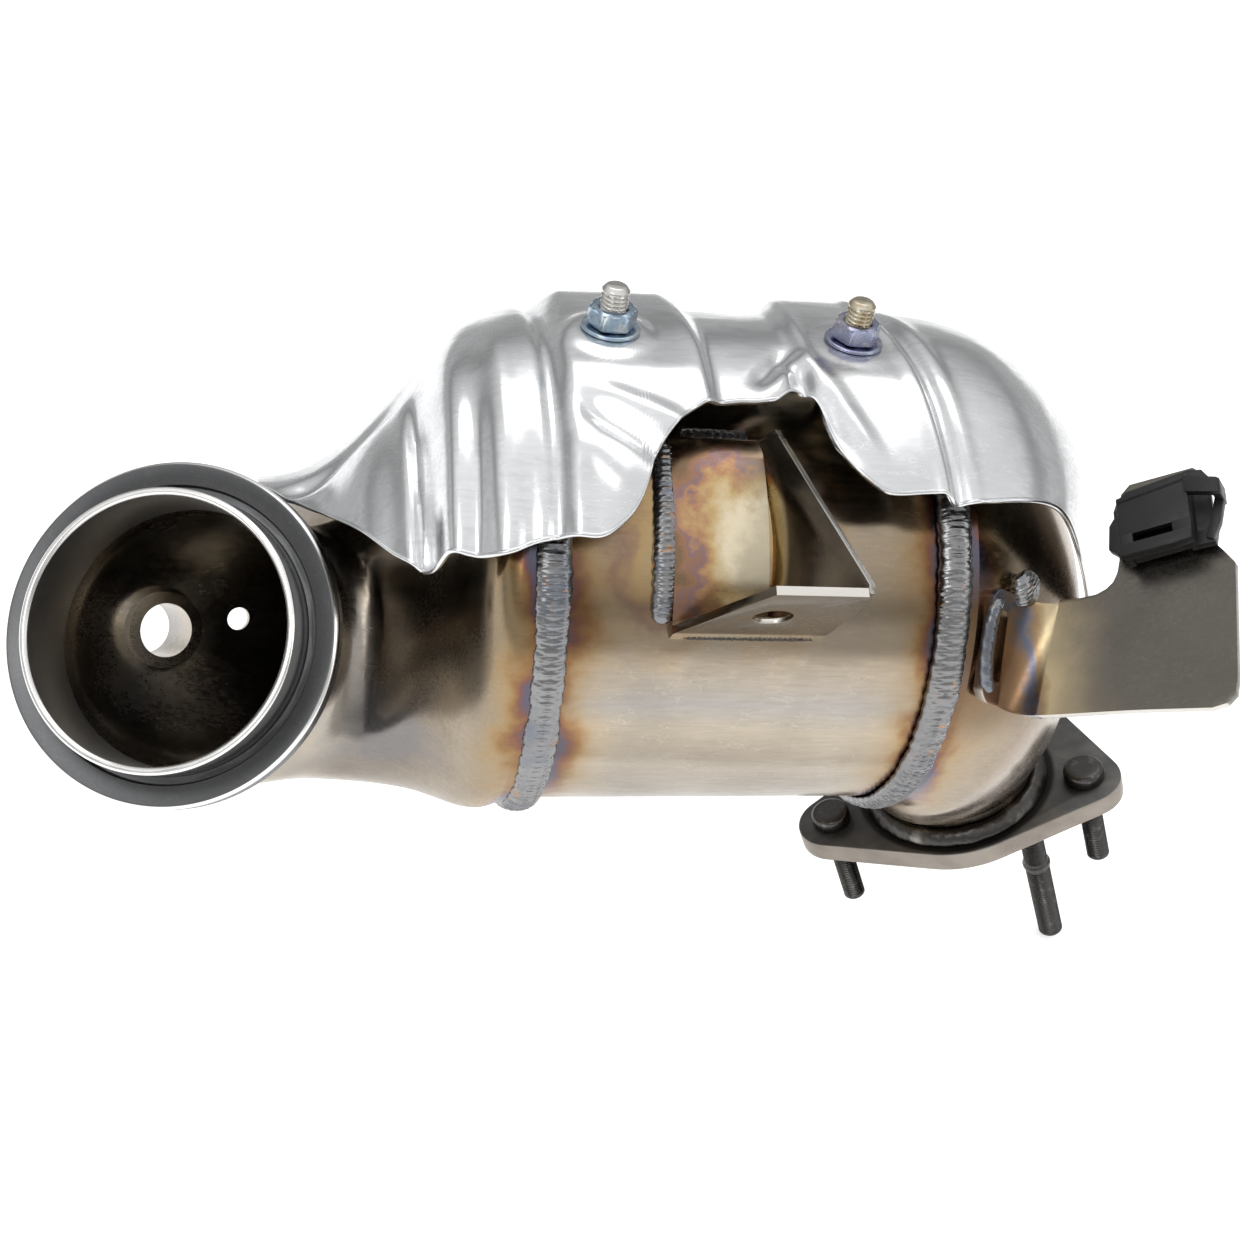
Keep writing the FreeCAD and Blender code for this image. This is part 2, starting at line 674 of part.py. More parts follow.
for side in nut_places:
    PARTS["shield_stud_" + side] = lambda side=side: shield_stud(side)
    PARTS["shield_washer_" + side] = lambda side=side: shield_washer(side)
    PARTS["shield_nut_" + side] = lambda side=side: shield_nut(side)


def main():
    os.makedirs("parts", exist_ok=True)
    for name, build in PARTS.items():
        shape = build()
        if len(shape.Solids) == 1:
            shape = shape.Solids[0]
        print(name, shape.isValid(), len(shape.Solids), round(shape.Volume))
        shape.exportStep("parts/" + name + ".step")


main()
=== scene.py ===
"""Looks of a catalytic converter: formed skins, rippled welds, threads and heat-tinted steel.

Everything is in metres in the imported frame: +X runs along the can, +Z is the way the shield's
studs stand, and the origin is the centre of the inlet ring's front face.
"""

import math

import bmesh
import bpy
from mathutils import Matrix, Vector, noise

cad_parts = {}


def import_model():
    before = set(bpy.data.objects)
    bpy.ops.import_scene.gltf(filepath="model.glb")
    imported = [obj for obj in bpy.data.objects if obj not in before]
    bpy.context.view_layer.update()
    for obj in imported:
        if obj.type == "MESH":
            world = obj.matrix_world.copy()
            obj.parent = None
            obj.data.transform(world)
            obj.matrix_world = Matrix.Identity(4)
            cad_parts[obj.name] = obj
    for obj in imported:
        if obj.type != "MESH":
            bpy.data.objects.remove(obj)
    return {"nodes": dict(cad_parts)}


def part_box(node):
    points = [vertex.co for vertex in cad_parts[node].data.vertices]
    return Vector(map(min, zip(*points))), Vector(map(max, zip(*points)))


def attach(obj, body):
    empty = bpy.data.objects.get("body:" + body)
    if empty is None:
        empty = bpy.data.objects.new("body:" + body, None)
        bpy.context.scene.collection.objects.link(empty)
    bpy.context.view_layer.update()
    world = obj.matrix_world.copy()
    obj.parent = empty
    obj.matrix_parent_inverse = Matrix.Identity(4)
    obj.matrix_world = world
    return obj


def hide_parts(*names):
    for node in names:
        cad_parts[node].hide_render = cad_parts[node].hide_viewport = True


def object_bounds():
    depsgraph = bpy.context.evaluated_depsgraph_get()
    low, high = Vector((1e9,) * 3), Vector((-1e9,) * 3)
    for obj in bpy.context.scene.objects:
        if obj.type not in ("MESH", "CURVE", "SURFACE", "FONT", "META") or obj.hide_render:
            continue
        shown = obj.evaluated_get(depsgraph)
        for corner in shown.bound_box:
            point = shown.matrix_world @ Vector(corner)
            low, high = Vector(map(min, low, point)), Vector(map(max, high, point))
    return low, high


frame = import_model()
cad_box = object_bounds()
MM = 0.001
ALONG = Vector((1, 0, 0))

# ---- sizes and places, in millimetres, as the construction has them -----------------------
can_start = Vector((101.7, 28.4, 3.1))
can_radius = 68.6
can_length = 117.4
mouth_dir = Vector((-0.352, -0.665, 0.659)).normalized()
ring_depth = 14.0
bowl_depth = 28.0
pipe_radius = 41.5
sheet = 1.8
outlet_centre = can_start + Vector((170.6, 0, -86.9))
outlet_dir = Vector((0.42, -0.06, -0.905)).normalized()
outlet_pipe = 28.5
flange_thickness = 8.0
flange_across = Vector((-outlet_dir.z, 0, outlet_dir.x)).normalized()
flange_beyond = (-outlet_dir).cross(flange_across)
bolt_places = {"left": (46.5, 180.0), "right": (46.0, -24.0), "rear": (46.0, 50.0)}
shield_hoops = ((24, 26.0, -22.0, 50.0, -14), (32, 26.0, -21.5, 50.6, -3), (40, 26.3, -19.3, 51.8, 10),
                (50, 26.7, -15.2, 55.8, 25), (60, 27.1, -10.2, 62.5, 38), (70, 27.6, -5.1, 70.3, 46),
                (80, 28.0, -0.7, 78.0, 49), (95, 28.4, 2.5, 80.8, 49), (115, 28.4, 3.1, 83.8, 47),
                (140, 28.4, 3.1, 84.8, 44), (165, 28.4, 3.1, 85.4, 42), (190, 28.4, 3.1, 85.6, 38),
                (215, 28.4, 3.1, 85.6, 39), (235, 29.0, 3.5, 83.0, 38), (250, 31.0, 5.0, 74.5, 42),
                (262, 33.0, 7.0, 63.0, 54), (272, 35.0, 9.0, 50.0, 68), (279, 36.0, 10.0, 38.0, 80))
shield_rear = -98.0
shield_sheet = 1.0
nut_places = {"left": 18.8, "right": 90.9}
seat_height = 86.0
web_tip = can_start + Vector((62.8, -28.1, 72.2))
web_corner = can_start + Vector((80.0, -80.0, 57.0))
clip_origin = Vector((243.5, -36.5, 24.5))
clip_normal = Vector((-0.668, -0.367, 0.648)).normalized()
clip_across = Vector((0.742, -0.396, 0.541)).normalized()
clip_up = clip_normal.cross(clip_across)
clip_foot_out = Vector((0.42, -0.82, 0.39)).normalized()
clip_sheet = 3.5
bracket_left = 34.0
bracket_right = 63.0
tint_steepness = 36.0      # per metre: the tint beside a seam is gone after about 28 mm


# ---- geometry helpers ---------------------------------------------------------------------
def radial(degrees):
    """The direction square to the can at this many degrees from +Z towards -Y."""
    a = math.radians(degrees)
    return Vector((0, -math.sin(a), math.cos(a)))


def on_can(along, degrees, radius):
    return can_start + ALONG * along + radial(degrees) * radius


def square_to(axis, hint):
    """Two unit vectors square to the axis and to each other, the first near the hint."""
    first = (hint - axis * hint.dot(axis)).normalized()
    return first, axis.cross(first)


def clamp(value, low=0.0, high=1.0):
    return max(low, min(high, value))


def ease(edge0, edge1, value):
    t = clamp((value - edge0) / (edge1 - edge0))
    return t * t * (3 - 2 * t)


def bump(value, centre, width):
    """A smooth hump of height 1."""
    return math.exp(-((value - centre) / width) ** 2)


def spline(stops, place):
    """Smooth value at this place from (place, value) stops."""
    last = len(stops) - 1
    i = 0
    while i < last - 1 and place > stops[i + 1][0]:
        i += 1
    (x0, y0), (x1, y1) = stops[i], stops[i + 1]
    before = stops[max(i - 1, 0)]
    after = stops[min(i + 2, last)]
    m0 = (y1 - before[1]) * (1 / (x1 - before[0]))
    m1 = (after[1] - y0) * (1 / (after[0] - x0))
    h = x1 - x0
    t = clamp((place - x0) / h)
    return (y0 * (2 * t ** 3 - 3 * t ** 2 + 1) + m0 * (h * (t ** 3 - 2 * t ** 2 + t))
            + y1 * (3 * t ** 2 - 2 * t ** 3) + m1 * (h * (t ** 3 - t ** 2)))


# ---- piece helpers ------------------------------------------------------------------------
def start_clean():
    if bpy.context.object and bpy.context.object.mode != "OBJECT":
        bpy.ops.object.mode_set(mode="OBJECT")
    bpy.ops.object.select_all(action="DESELECT")


def take(obj):
    start_clean()
    obj.select_set(True)
    bpy.context.view_layer.objects.active = obj
    return obj


def edit(obj, action):
    """Runs an edit-mode action on the whole mesh."""
    take(obj)
    bpy.ops.object.mode_set(mode="EDIT")
    bpy.ops.mesh.select_all(action="SELECT")
    action()
    bpy.ops.object.mode_set(mode="OBJECT")


def settle(obj):
    """Puts the object's place into its mesh."""
    take(obj)
    bpy.ops.object.transform_apply(location=True, rotation=True, scale=True)
    return obj


def outward(obj):
    edit(obj, lambda: bpy.ops.mesh.normals_make_consistent(inside=False))
    return obj


def smooth(obj, degrees=35):
    take(obj)
    bpy.ops.object.shade_smooth_by_angle(angle=math.radians(degrees))
    return obj


def apply(obj, kind, **settings):
    """Adds a modifier with these settings and applies it."""
    take(obj)
    modifier = obj.modifiers.new(kind.title(), kind)
    for key, value in settings.items():
        setattr(modifier, key, value)
    bpy.ops.object.modifier_apply(modifier=modifier.name)
    return obj


def finished(obj, name, material, slot, *nodes):
    """Names a piece, gives it its material and says which nodes it stands for."""
    obj.name = name
    obj.data.name = name
    obj.data.materials.clear()
    obj.data.materials.append(material)
    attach(obj, "root")
    if nodes:
        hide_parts(*nodes)
    return obj


def lattice(columns, rows, place, round_rows=False, round_columns=False, caps=False):
    """A grid of faces whose corner (u, v) is moved to place(u, v), joined up where it closes."""
    start_clean()
    bpy.ops.mesh.primitive_grid_add(x_subdivisions=columns, y_subdivisions=rows, size=1)
    obj = bpy.context.object
    for vertex in obj.data.vertices:
        u, v = clamp(vertex.co.x + 0.5), clamp(vertex.co.y + 0.5)
        vertex.co = place(u, v) * MM
    if round_rows or round_columns:
        edit(obj, lambda: bpy.ops.mesh.remove_doubles(threshold=0.000002))
    if caps:
        edit(obj, cap_ends)
    return outward(obj)


def cap_ends():
    bpy.ops.mesh.select_all(action="DESELECT")
    bpy.ops.mesh.select_non_manifold(extend=False)
    bpy.ops.mesh.fill()


def turned(profile, centre, axis, steps=128):
    """A closed ring turned from (radius, height) corners about an axis."""
    first, second = square_to(axis, Vector((0, 0, 1)) if abs(axis.z) < 0.9 else ALONG)
    count = len(profile)

    def place(u, v):
        radius, height = profile[round(v * count) % count]
        a = 2 * math.pi * u
        return centre + axis * height + (first * math.cos(a) + second * math.sin(a)) * radius
    return lattice(steps, count, place, round_rows=True, round_columns=True)


def cad_copy(node):
    """A merged copy of a node's mesh, to be shaped further."""
    start_clean()
    obj = frame["nodes"][node].copy()
    obj.data = obj.data.copy()
    obj.parent = None
    for key in list(obj.keys()):
        del obj[key]
    bpy.context.scene.collection.objects.link(obj)
    edit(obj, lambda: bpy.ops.mesh.remove_doubles(threshold=0.00001))
    return obj


top_corner = on_can(61.0, 20.5, can_radius)


# ---- finishes -----------------------------------------------------------------------------
def fill_ramp(band, stops):
    while len(band.elements) < len(stops):
        band.elements.new(0.5)
    for element, (place, colour) in zip(band.elements, stops):
        element.position = place
        element.color = (*colour, 1)


class Finish:
    """A procedural material: each call adds a node and gives back its first output."""

    def __init__(self, name, metallic, roughness):
        self.material = bpy.data.materials.new(name)
        self.material.use_nodes = True
        self.tree = self.material.node_tree
        self.shader = self.tree.nodes["Principled BSDF"]
        self.set("Metallic", metallic)
        self.set("Roughness", roughness)
        self.place = self.node("ShaderNodeTexCoord", output="Object")

    def node(self, kind, output=0, settings=None, **sockets):
        made = self.tree.nodes.new(kind)
        for key, value in (settings or {}).items():
            setattr(made, key, value)
        for key, value in sockets.items():
            number = key.removeprefix("input_")
            socket = made.inputs[int(number)] if number.isdigit() else made.inputs[key.replace("_", " ")]
            self.fill(socket, value)
        return made.outputs[output]

    def fill(self, socket, value):
        if isinstance(value, bpy.types.NodeSocket):
            self.tree.links.new(value, socket)
        else:
            socket.default_value = value

    def set(self, socket, value):
        self.fill(self.shader.inputs[socket], value)
        return self

    def axis(self, letter):
        return self.node("ShaderNodeSeparateXYZ", output=letter, Vector=self.place)

    def grain(self, scale, detail=3.0, stretch=(1, 1, 1), turn=(0, 0, 0), shift=(0, 0, 0), rough=0.55):
        """Noise from 0 to 1 about 0.5, stretched along the piece's axes."""
        spot = self.node("ShaderNodeMapping", Vector=self.place, Location=shift, Rotation=turn,
                         Scale=stretch)
        return self.node("ShaderNodeTexNoise", Vector=spot, Scale=scale, Detail=detail, Roughness=rough)

    def maths(self, operation, first, second=0.0):
        return self.node("ShaderNodeMath", settings={"operation": operation}, input_0=first, input_1=second)

    def spread(self, value, low, high, to_low=0.0, to_high=1.0):
        """Maps low..high on to another range, smoothly at both ends."""
        made = self.node("ShaderNodeMapRange", settings={"interpolation_type": "SMOOTHSTEP"}, Value=value,
                         From_Min=low, From_Max=high, To_Min=to_low, To_Max=to_high)
        return made

    def ramp(self, value, stops):
        """Colour by value through (place, (r, g, b)) stops."""
        out = self.node("ShaderNodeValToRGB", Fac=value)
        fill_ramp(out.node.color_ramp, stops)
        return out

    def blend(self, share, first, second, how="MIX"):
        made = self.tree.nodes.new("ShaderNodeMix")
        made.data_type = "RGBA"
        made.blend_type = how
        for index, value in ((0, share), (6, first), (7, second)):
            if isinstance(value, tuple) and len(value) == 3:
                value = (*value, 1)
            self.fill(made.inputs[index], value)
        return made.outputs[2]

    def vectors(self, operation, first, second):
        """Vector maths: a dot product or a distance is a number, and anything else a vector."""
        number = operation in ("DOT_PRODUCT", "DISTANCE")
        return self.node("ShaderNodeVectorMath", output=int(number), settings={"operation": operation},
                         input_0=first, input_1=second)

    def distance(self, point):
        """Metres from a place given in millimetres."""
        return self.vectors("DISTANCE", self.place, tuple(point * MM))

    def facing(self, direction):
        """1 where the surface faces this way, -1 where it faces the other."""
        normal = self.node("ShaderNodeNewGeometry", output="Normal")
        return self.vectors("DOT_PRODUCT", normal, tuple(direction))

    def wander(self, scale, detail, reach, shift=(0, 0, 0), stretch=(1, 1, 1), low=0.25):
        """An uneven border, up to this many metres either way."""
        return self.spread(self.grain(scale, detail, stretch, shift=shift), low, 1 - low, -reach, reach)

    def relief(self, height, strength, depth_mm):
        """Bump, on top of any relief already there."""
        socket = self.shader.inputs["Normal"]
        below = socket.links[0].from_socket if socket.links else None
        made = self.tree.nodes.new("ShaderNodeBump")
        made.inputs["Strength"].default_value = strength
        made.inputs["Distance"].default_value = depth_mm * MM
        self.tree.links.new(height, made.inputs["Height"])
        if below:
            self.tree.links.new(below, made.inputs["Normal"])
        self.tree.links.new(made.outputs[0], socket)
        return self


def brushed(name, colour, roughness, stretch, scale=900.0, variation=0.06, metallic=1.0):
    """Bare metal with fine lines one way, soft cloudy patches and a few thin scratches."""
    f = Finish(name, metallic, roughness)
    lines = f.grain(scale, 4.0, stretch)
    clouds = f.grain(28.0, 5.0, shift=(3, 1, 7))
    marks = f.grain(45.0, 7.0, (1.0, 4.0, 2.5), turn=(0.4, 0.9, 0.3), shift=(9, 4, 2))
    scratch = f.spread(f.maths("ABSOLUTE", f.maths("SUBTRACT", marks, 0.5)), 0.0, 0.006, 0.5, 0.0)
    rough = f.maths("ADD", f.spread(clouds, 0.3, 0.7, roughness - variation, roughness + variation),
                    f.spread(lines, 0.3, 0.7, -0.03, 0.04))
    f.set("Roughness", rough)
    base = f.blend(f.spread(clouds, 0.35, 0.7), colour, tuple(c * 0.84 for c in colour))
    base = f.blend(f.spread(lines, 0.35, 0.75, 0.0, 0.35), base, tuple(c * 0.72 for c in colour))
    base = f.blend(scratch, base, tuple(min(1.0, c * 1.25 + 0.02) for c in colour))
    f.relief(lines, 0.03, 0.04)
    f.relief(clouds, 0.08, 0.6)
    return f, base


def seam_tint(f, base):
    """Rainbow bands beside the two girth welds: blue and purple, then brown, then straw."""
    along = f.maths("ADD", f.axis("X"), f.wander(45.0, 4.0, 0.005, shift=(5, 5, 5)))
    for seam in (can_start.x, can_start.x + can_length):
        away = f.maths("ABSOLUTE", f.maths("SUBTRACT", along, seam * MM))
        away = f.maths("MULTIPLY", away, tint_steepness)
        share = f.ramp(away, ((0.0, (0.95,) * 3), (0.30, (0.9,) * 3),
                              (0.55, (0.45,) * 3), (1.0, (0.0,) * 3)))
        tint = f.ramp(away, ((0.0, (0.10, 0.11, 0.15)), (0.14, (0.12, 0.10, 0.14)),
                             (0.20, (0.20, 0.09, 0.07)), (0.30, (0.30, 0.17, 0.07)),
                             (0.45, (0.42, 0.29, 0.14)), (0.75, (0.48, 0.40, 0.28))))
        base = f.blend(share, base, tint)
    return base


def can_finish():
    """Bright steel in soft bands of painted highlight, reflection and shade, tinted by the seams and behind
    the bracket.
    """
    f, base = brushed("can_steel", (0.49, 0.45, 0.395), 0.22, (0.12, 1.0, 1.0))
    base = seam_tint(f, base)
    near = f.distance(on_can(46.0, 40.0, can_radius))
    near = f.maths("ADD", near, f.wander(50.0, 4.0, 0.008, shift=(2, 8, 1)))
    share = f.spread(near, 0.022, 0.048, 0.8, 0.0)
    tint = f.ramp(f.maths("MULTIPLY", near, 20.0),
                  ((0.0, (0.50, 0.40, 0.24)), (0.45, (0.46, 0.31, 0.14)), (0.62, (0.26, 0.14, 0.10)),
                   (0.75, (0.42, 0.30, 0.16)), (0.95, (0.52, 0.45, 0.35))))
    # painted light: bands by height stand in for highlights, studio reflections and shade on the can
    height = f.maths("ADD", f.axis("Z"), f.wander(20.0, 4.0, 0.004, stretch=(0.3, 1, 1), low=0.3))
    painted_light_bands = f.ramp(f.spread(height, -0.055, 0.045),
                   ((0.0, (0.74, 0.70, 0.66)), (0.30, (1.0, 0.97, 0.92)), (0.36, (0.80, 0.75, 0.68)),
                    (0.56, (1.0, 0.94, 0.84)), (0.72, (0.78, 0.80, 0.86)), (0.88, (0.86, 0.78, 0.68)),
                    (1.0, (0.70, 0.60, 0.48))))
    base = f.blend(0.85, base, painted_light_bands, "MULTIPLY")
    f.set("Base Color", f.blend(share, base, tint))
    return f.material


def elbow_finish():
    """Warm smoky steel: dark brown high up and by the ring, bluish grey in the waist, grimy inside."""
    f, base = brushed("elbow_steel", (0.33, 0.28, 0.225), 0.24, (0.25, 1.0, 1.0), variation=0.07)
    wander = f.wander(30.0, 4.0, 0.012, shift=(2, 5, 2))
    high = f.maths("ADD", f.axis("Z"), wander)
    base = f.blend(f.spread(high, -0.03, 0.045, 0.0, 0.85), base, (0.14, 0.105, 0.07))
    waist = f.maths("ADD", f.distance(Vector((46.0, -24.0, -22.0))), wander)
    base = f.blend(f.spread(waist, 0.012, 0.034, 0.75, 0.0), base, (0.19, 0.19, 0.20))
    base = seam_tint(f, base)
    deep = f.distance(-mouth_dir * bowl_depth)
    inside = f.maths("MULTIPLY", f.spread(f.facing(mouth_dir), -0.1, 0.12),
                     f.spread(deep, 0.040, 0.056, 1.0, 0.0))
    soot = f.ramp(f.grain(36.0, 5.0, shift=(1, 9, 3)),
                  ((0.3, (0.36, 0.35, 0.34)), (0.55, (0.48, 0.43, 0.36)), (0.7, (0.62, 0.55, 0.44))))
    f.relief(f.grain(16.0, 2.0, shift=(4, 2, 2)), 0.30, 5.0)
    f.set("Base Color", f.blend(inside, base, soot))
    return f.material


def cone_finish():
    """Warm steel, straw and then black towards the flange, brown under the clip's foot."""
    f, base = brushed("cone_steel", (0.34, 0.275, 0.21), 0.24, (0.3, 1.0, 1.0), variation=0.07)
    base = seam_tint(f, base)
    near = f.maths("ADD", f.distance(outlet_centre), f.wander(55.0, 4.0, 0.006, low=0.3))
    base = f.blend(f.spread(near, 0.036, 0.060, 0.9, 0.0), base, (0.40, 0.30, 0.19))
    base = f.blend(f.spread(near, 0.031, 0.041, 0.95, 0.0), base, (0.085, 0.07, 0.06))
    foot = f.distance(clip_origin + Vector((-8, -6, 0)))
    base = f.blend(f.spread(foot, 0.018, 0.036, 0.75, 0.0), base, (0.17, 0.115, 0.07))
    f.set("Base Color", base)
    ridge = f.vectors("DOT_PRODUCT", f.place, (0.86, -0.10, -0.50))
    swell = f.maths("SINE", f.maths("MULTIPLY", ridge, 300.0))
    pinched = f.distance(can_start + Vector((142, -34, -62)))
    swell = f.maths("MULTIPLY", swell, f.spread(pinched, 0.012, 0.03, 1, 0))
    f.relief(swell, 0.15, 3.0)
    return f.material


def ring_finish():
    """Dark turned steel with painted highlights on the chamfered rims, the lip and the bore."""
    f, base = brushed("turned_steel", (0.135, 0.137, 0.140), 0.36, (1, 1, 1), scale=1200.0, variation=0.03)
    depth = f.vectors("DOT_PRODUCT", f.place, tuple(mouth_dir))
    reach = f.node("ShaderNodeVectorMath", settings={"operation": "SCALE"}, input_0=tuple(mouth_dir),
                   Scale=depth)
    flat = f.vectors("SUBTRACT", f.place, reach)
    away = f.node("ShaderNodeVectorMath", output=1, settings={"operation": "LENGTH"}, input_0=flat)
    turning = f.maths("SINE", f.maths("MULTIPLY", away, 9000.0))
    # painted highlight: the bore wall is painted pale grey
    base = f.blend(f.spread(away, 0.0383, 0.0386, 1.0, 0.0), base, (0.58, 0.57, 0.55))
    # painted highlights: the lip's top, the outer rim's chamfer and the step wall are painted near-white
    lip = f.spread(depth, 0.0081, 0.0087)
    rim = f.maths("MULTIPLY", f.spread(away, 0.04905, 0.04925), f.spread(depth, -0.0016, -0.0010))
    wall = f.maths("MULTIPLY", f.spread(away, 0.0398, 0.0404), f.spread(away, 0.0412, 0.0418, 1.0, 0.0))
    wall = f.maths("MULTIPLY", wall, f.spread(depth, -0.0030, 0.0, 0.0, 0.6))
    bright = f.maths("MINIMUM", f.maths("ADD", f.maths("ADD", lip, rim), wall), 1.0)
    f.set("Base Color", f.blend(bright, base, (0.86, 0.85, 0.83)))
    f.set("Roughness", f.maths("SUBTRACT", 0.36, f.maths("MULTIPLY", bright, 0.16)))
    f.relief(turning, 0.12, 0.03)
    return f.material


def weld_finish():
    """Oxidised grey-blue weld metal with copper glints at its toes."""
    f, base = brushed("weld_bead", (0.29, 0.29, 0.295), 0.27, (1, 1, 1), scale=600.0, variation=0.07)
    blue = f.spread(f.grain(60.0, 4.0, shift=(7, 2, 5)), 0.5, 0.7, 0.0, 0.7)
    base = f.blend(blue, base, (0.16, 0.18, 0.22))
    specks = f.spread(f.grain(380.0, 4.0, shift=(1, 6, 3)), 0.60, 0.70)
    patch = f.spread(f.grain(70.0, 2.0, shift=(3, 3, 1)), 0.45, 0.62)
    copper = f.maths("MULTIPLY", f.maths("MULTIPLY", specks, patch), 0.8)
    f.set("Base Color", f.blend(copper, base, (0.52, 0.26, 0.10)))
    f.relief(f.grain(900.0, 3.0), 0.15, 0.15)
    return f.material


def dark_weld_finish():
    """Nearly black weld with a few bright rubs."""
    f, base = brushed("dark_weld_bead", (0.085, 0.08, 0.075), 0.30, (1, 1, 1), scale=500.0)
    rubs = f.spread(f.grain(70.0, 4.0, shift=(8, 1, 1)), 0.6, 0.75, 0.0, 0.7)
    f.set("Base Color", f.blend(rubs, base, (0.36, 0.33, 0.30)))
    return f.material


def shield_finish():
    """Bright sheet with a fine rolled grain and faint handling marks."""
    f, base = brushed("shield_sheet", (0.80, 0.81, 0.82), 0.23, (0.06, 1.0, 1.0), scale=700.0, variation=0.05)
    marks = f.spread(f.grain(60.0, 8.0, (1.0, 3.0, 3.0), shift=(4, 4, 9)), 0.55, 0.75, 0.0, 0.35)
    f.set("Base Color", f.blend(marks, base, (0.50, 0.51, 0.53)))
    f.relief(f.grain(38.0, 3.0, shift=(6, 6, 1)), 0.22, 1.6)
    return f.material


def flange_finish():
    """Charcoal scale on the flat faces, bare metal with sawn lines round the edge."""
    f = Finish("flange_steel", 0.9, 0.5)
    side = f.spread(f.maths("ABSOLUTE", f.facing(outlet_dir)), 0.35, 0.75, 1.0, 0.0)
    scale = f.blend(f.spread(f.grain(70.0, 6.0), 0.35, 0.7), (0.105, 0.104, 0.102), (0.17, 0.165, 0.155))
    bore = f.spread(f.distance(outlet_centre), 0.0345, 0.0365, 0.9, 0.0)
    scale = f.blend(bore, scale, (0.012, 0.011, 0.010))
    patches = f.spread(f.grain(60.0, 5.0, (1.0, 1.0, 2.0)), 0.35, 0.7)
    bare = f.blend(patches, (0.33, 0.295, 0.255), (0.24, 0.21, 0.18))
    sawn = f.spread(f.grain(1200.0, 3.0, (1.0, 1.0, 0.15)), 0.4, 0.7, 0.0, 0.4)
    bare = f.blend(sawn, bare, (0.30, 0.27, 0.24))
    f.set("Base Color", f.blend(side, scale, bare))
    f.set("Roughness", f.maths("SUBTRACT", 0.5, f.maths("MULTIPLY", side, 0.12)))
    f.relief(f.grain(400.0, 5.0), 0.12, 0.2)
    return f.material


def bolt_finish():
    f, base = brushed("black_steel", (0.095, 0.092, 0.088), 0.30, (1, 1, 1), scale=800.0)
    worn = f.spread(f.grain(300.0, 4.0, shift=(2, 2, 8)), 0.55, 0.75, 0.0, 0.5)
    f.set("Base Color", f.blend(worn, base, (0.30, 0.28, 0.25)))
    return f.material


def sheared_edge_and_highlight(f, base, faces, bright):
    """Bright sheared metal and painted highlight wherever the surface isn't one of the sheet's own faces."""
    share = 0.0
    for face in faces:
        share = f.maths("MAXIMUM", f.maths("ABSOLUTE", f.facing(face)), share)
    return f.blend(f.spread(share, 0.66, 0.93, 0.95, 0.0), base, bright)


def bracket_finish():
    """Sheet tinted gold and purple by the welds; dark brown painted shade where it stands off the can."""
    f, base = brushed("bracket_steel", (0.70, 0.60, 0.44), 0.22, (0.3, 1.0, 1.0))
    off = f.vectors("DISTANCE", f.vectors("MULTIPLY", f.place, (0, 1, 1)),
                    (0, can_start.y * MM, can_start.z * MM))
    wander = f.wander(60.0, 5.0, 0.006)
    left = f.maths("ADD", f.maths("SUBTRACT", f.axis("X"), (can_start.x + bracket_left) * MM), wander)
    right = f.maths("SUBTRACT", (can_start.x + bracket_right) * MM, f.maths("ADD", f.axis("X"), wander))
    below = f.maths("ADD", f.maths("SUBTRACT", f.axis("Z"), 0.0335), wander)
    above = f.maths("SUBTRACT", 0.070, f.maths("ADD", f.axis("Z"), wander))
    rim = f.maths("MULTIPLY", f.maths("MINIMUM", f.maths("MINIMUM", left, below), above), 60.0)
    heat = f.ramp(rim, ((0.0, (0.16, 0.085, 0.04)), (0.14, (0.30, 0.13, 0.07)), (0.26, (0.22, 0.12, 0.15)),
                        (0.36, (0.42, 0.20, 0.10)), (0.52, (0.56, 0.38, 0.16)), (0.85, (0.82, 0.72, 0.52))))
    skin = f.blend(0.85, base, heat)
    skin = f.blend(f.spread(right, 0.004, 0.014, 0.5, 0.0), skin, (0.30, 0.27, 0.20))
    # painted shade: the web and lug that stand off the can are dark brown, a little lighter low down
    standoff_shade_ramp = f.ramp(f.grain(40.0, 4.0, shift=(1, 4, 4)),
                  ((0.35, (0.085, 0.066, 0.045)), (0.65, (0.16, 0.13, 0.095))))
    shaded_standoff = f.blend(f.spread(f.axis("Z"), 0.045, 0.075, 0.55, 0.0), standoff_shade_ramp, (0.15, 0.12, 0.085))
    web = (top_corner - web_tip).cross(web_corner - web_tip).normalized()
    # bright sheared metal and painted highlight on the edges and bends
    skin = sheared_edge_and_highlight(f, skin, [radial(21 + 8 * i) for i in range(7)] + [web], (0.70, 0.66, 0.60))
    shaded_standoff = sheared_edge_and_highlight(f, shaded_standoff, (web, radial(125)), (0.80, 0.77, 0.72))
    f.set("Base Color", f.blend(f.spread(off, 0.0722, 0.0742), skin, shaded_standoff))
    return f.material


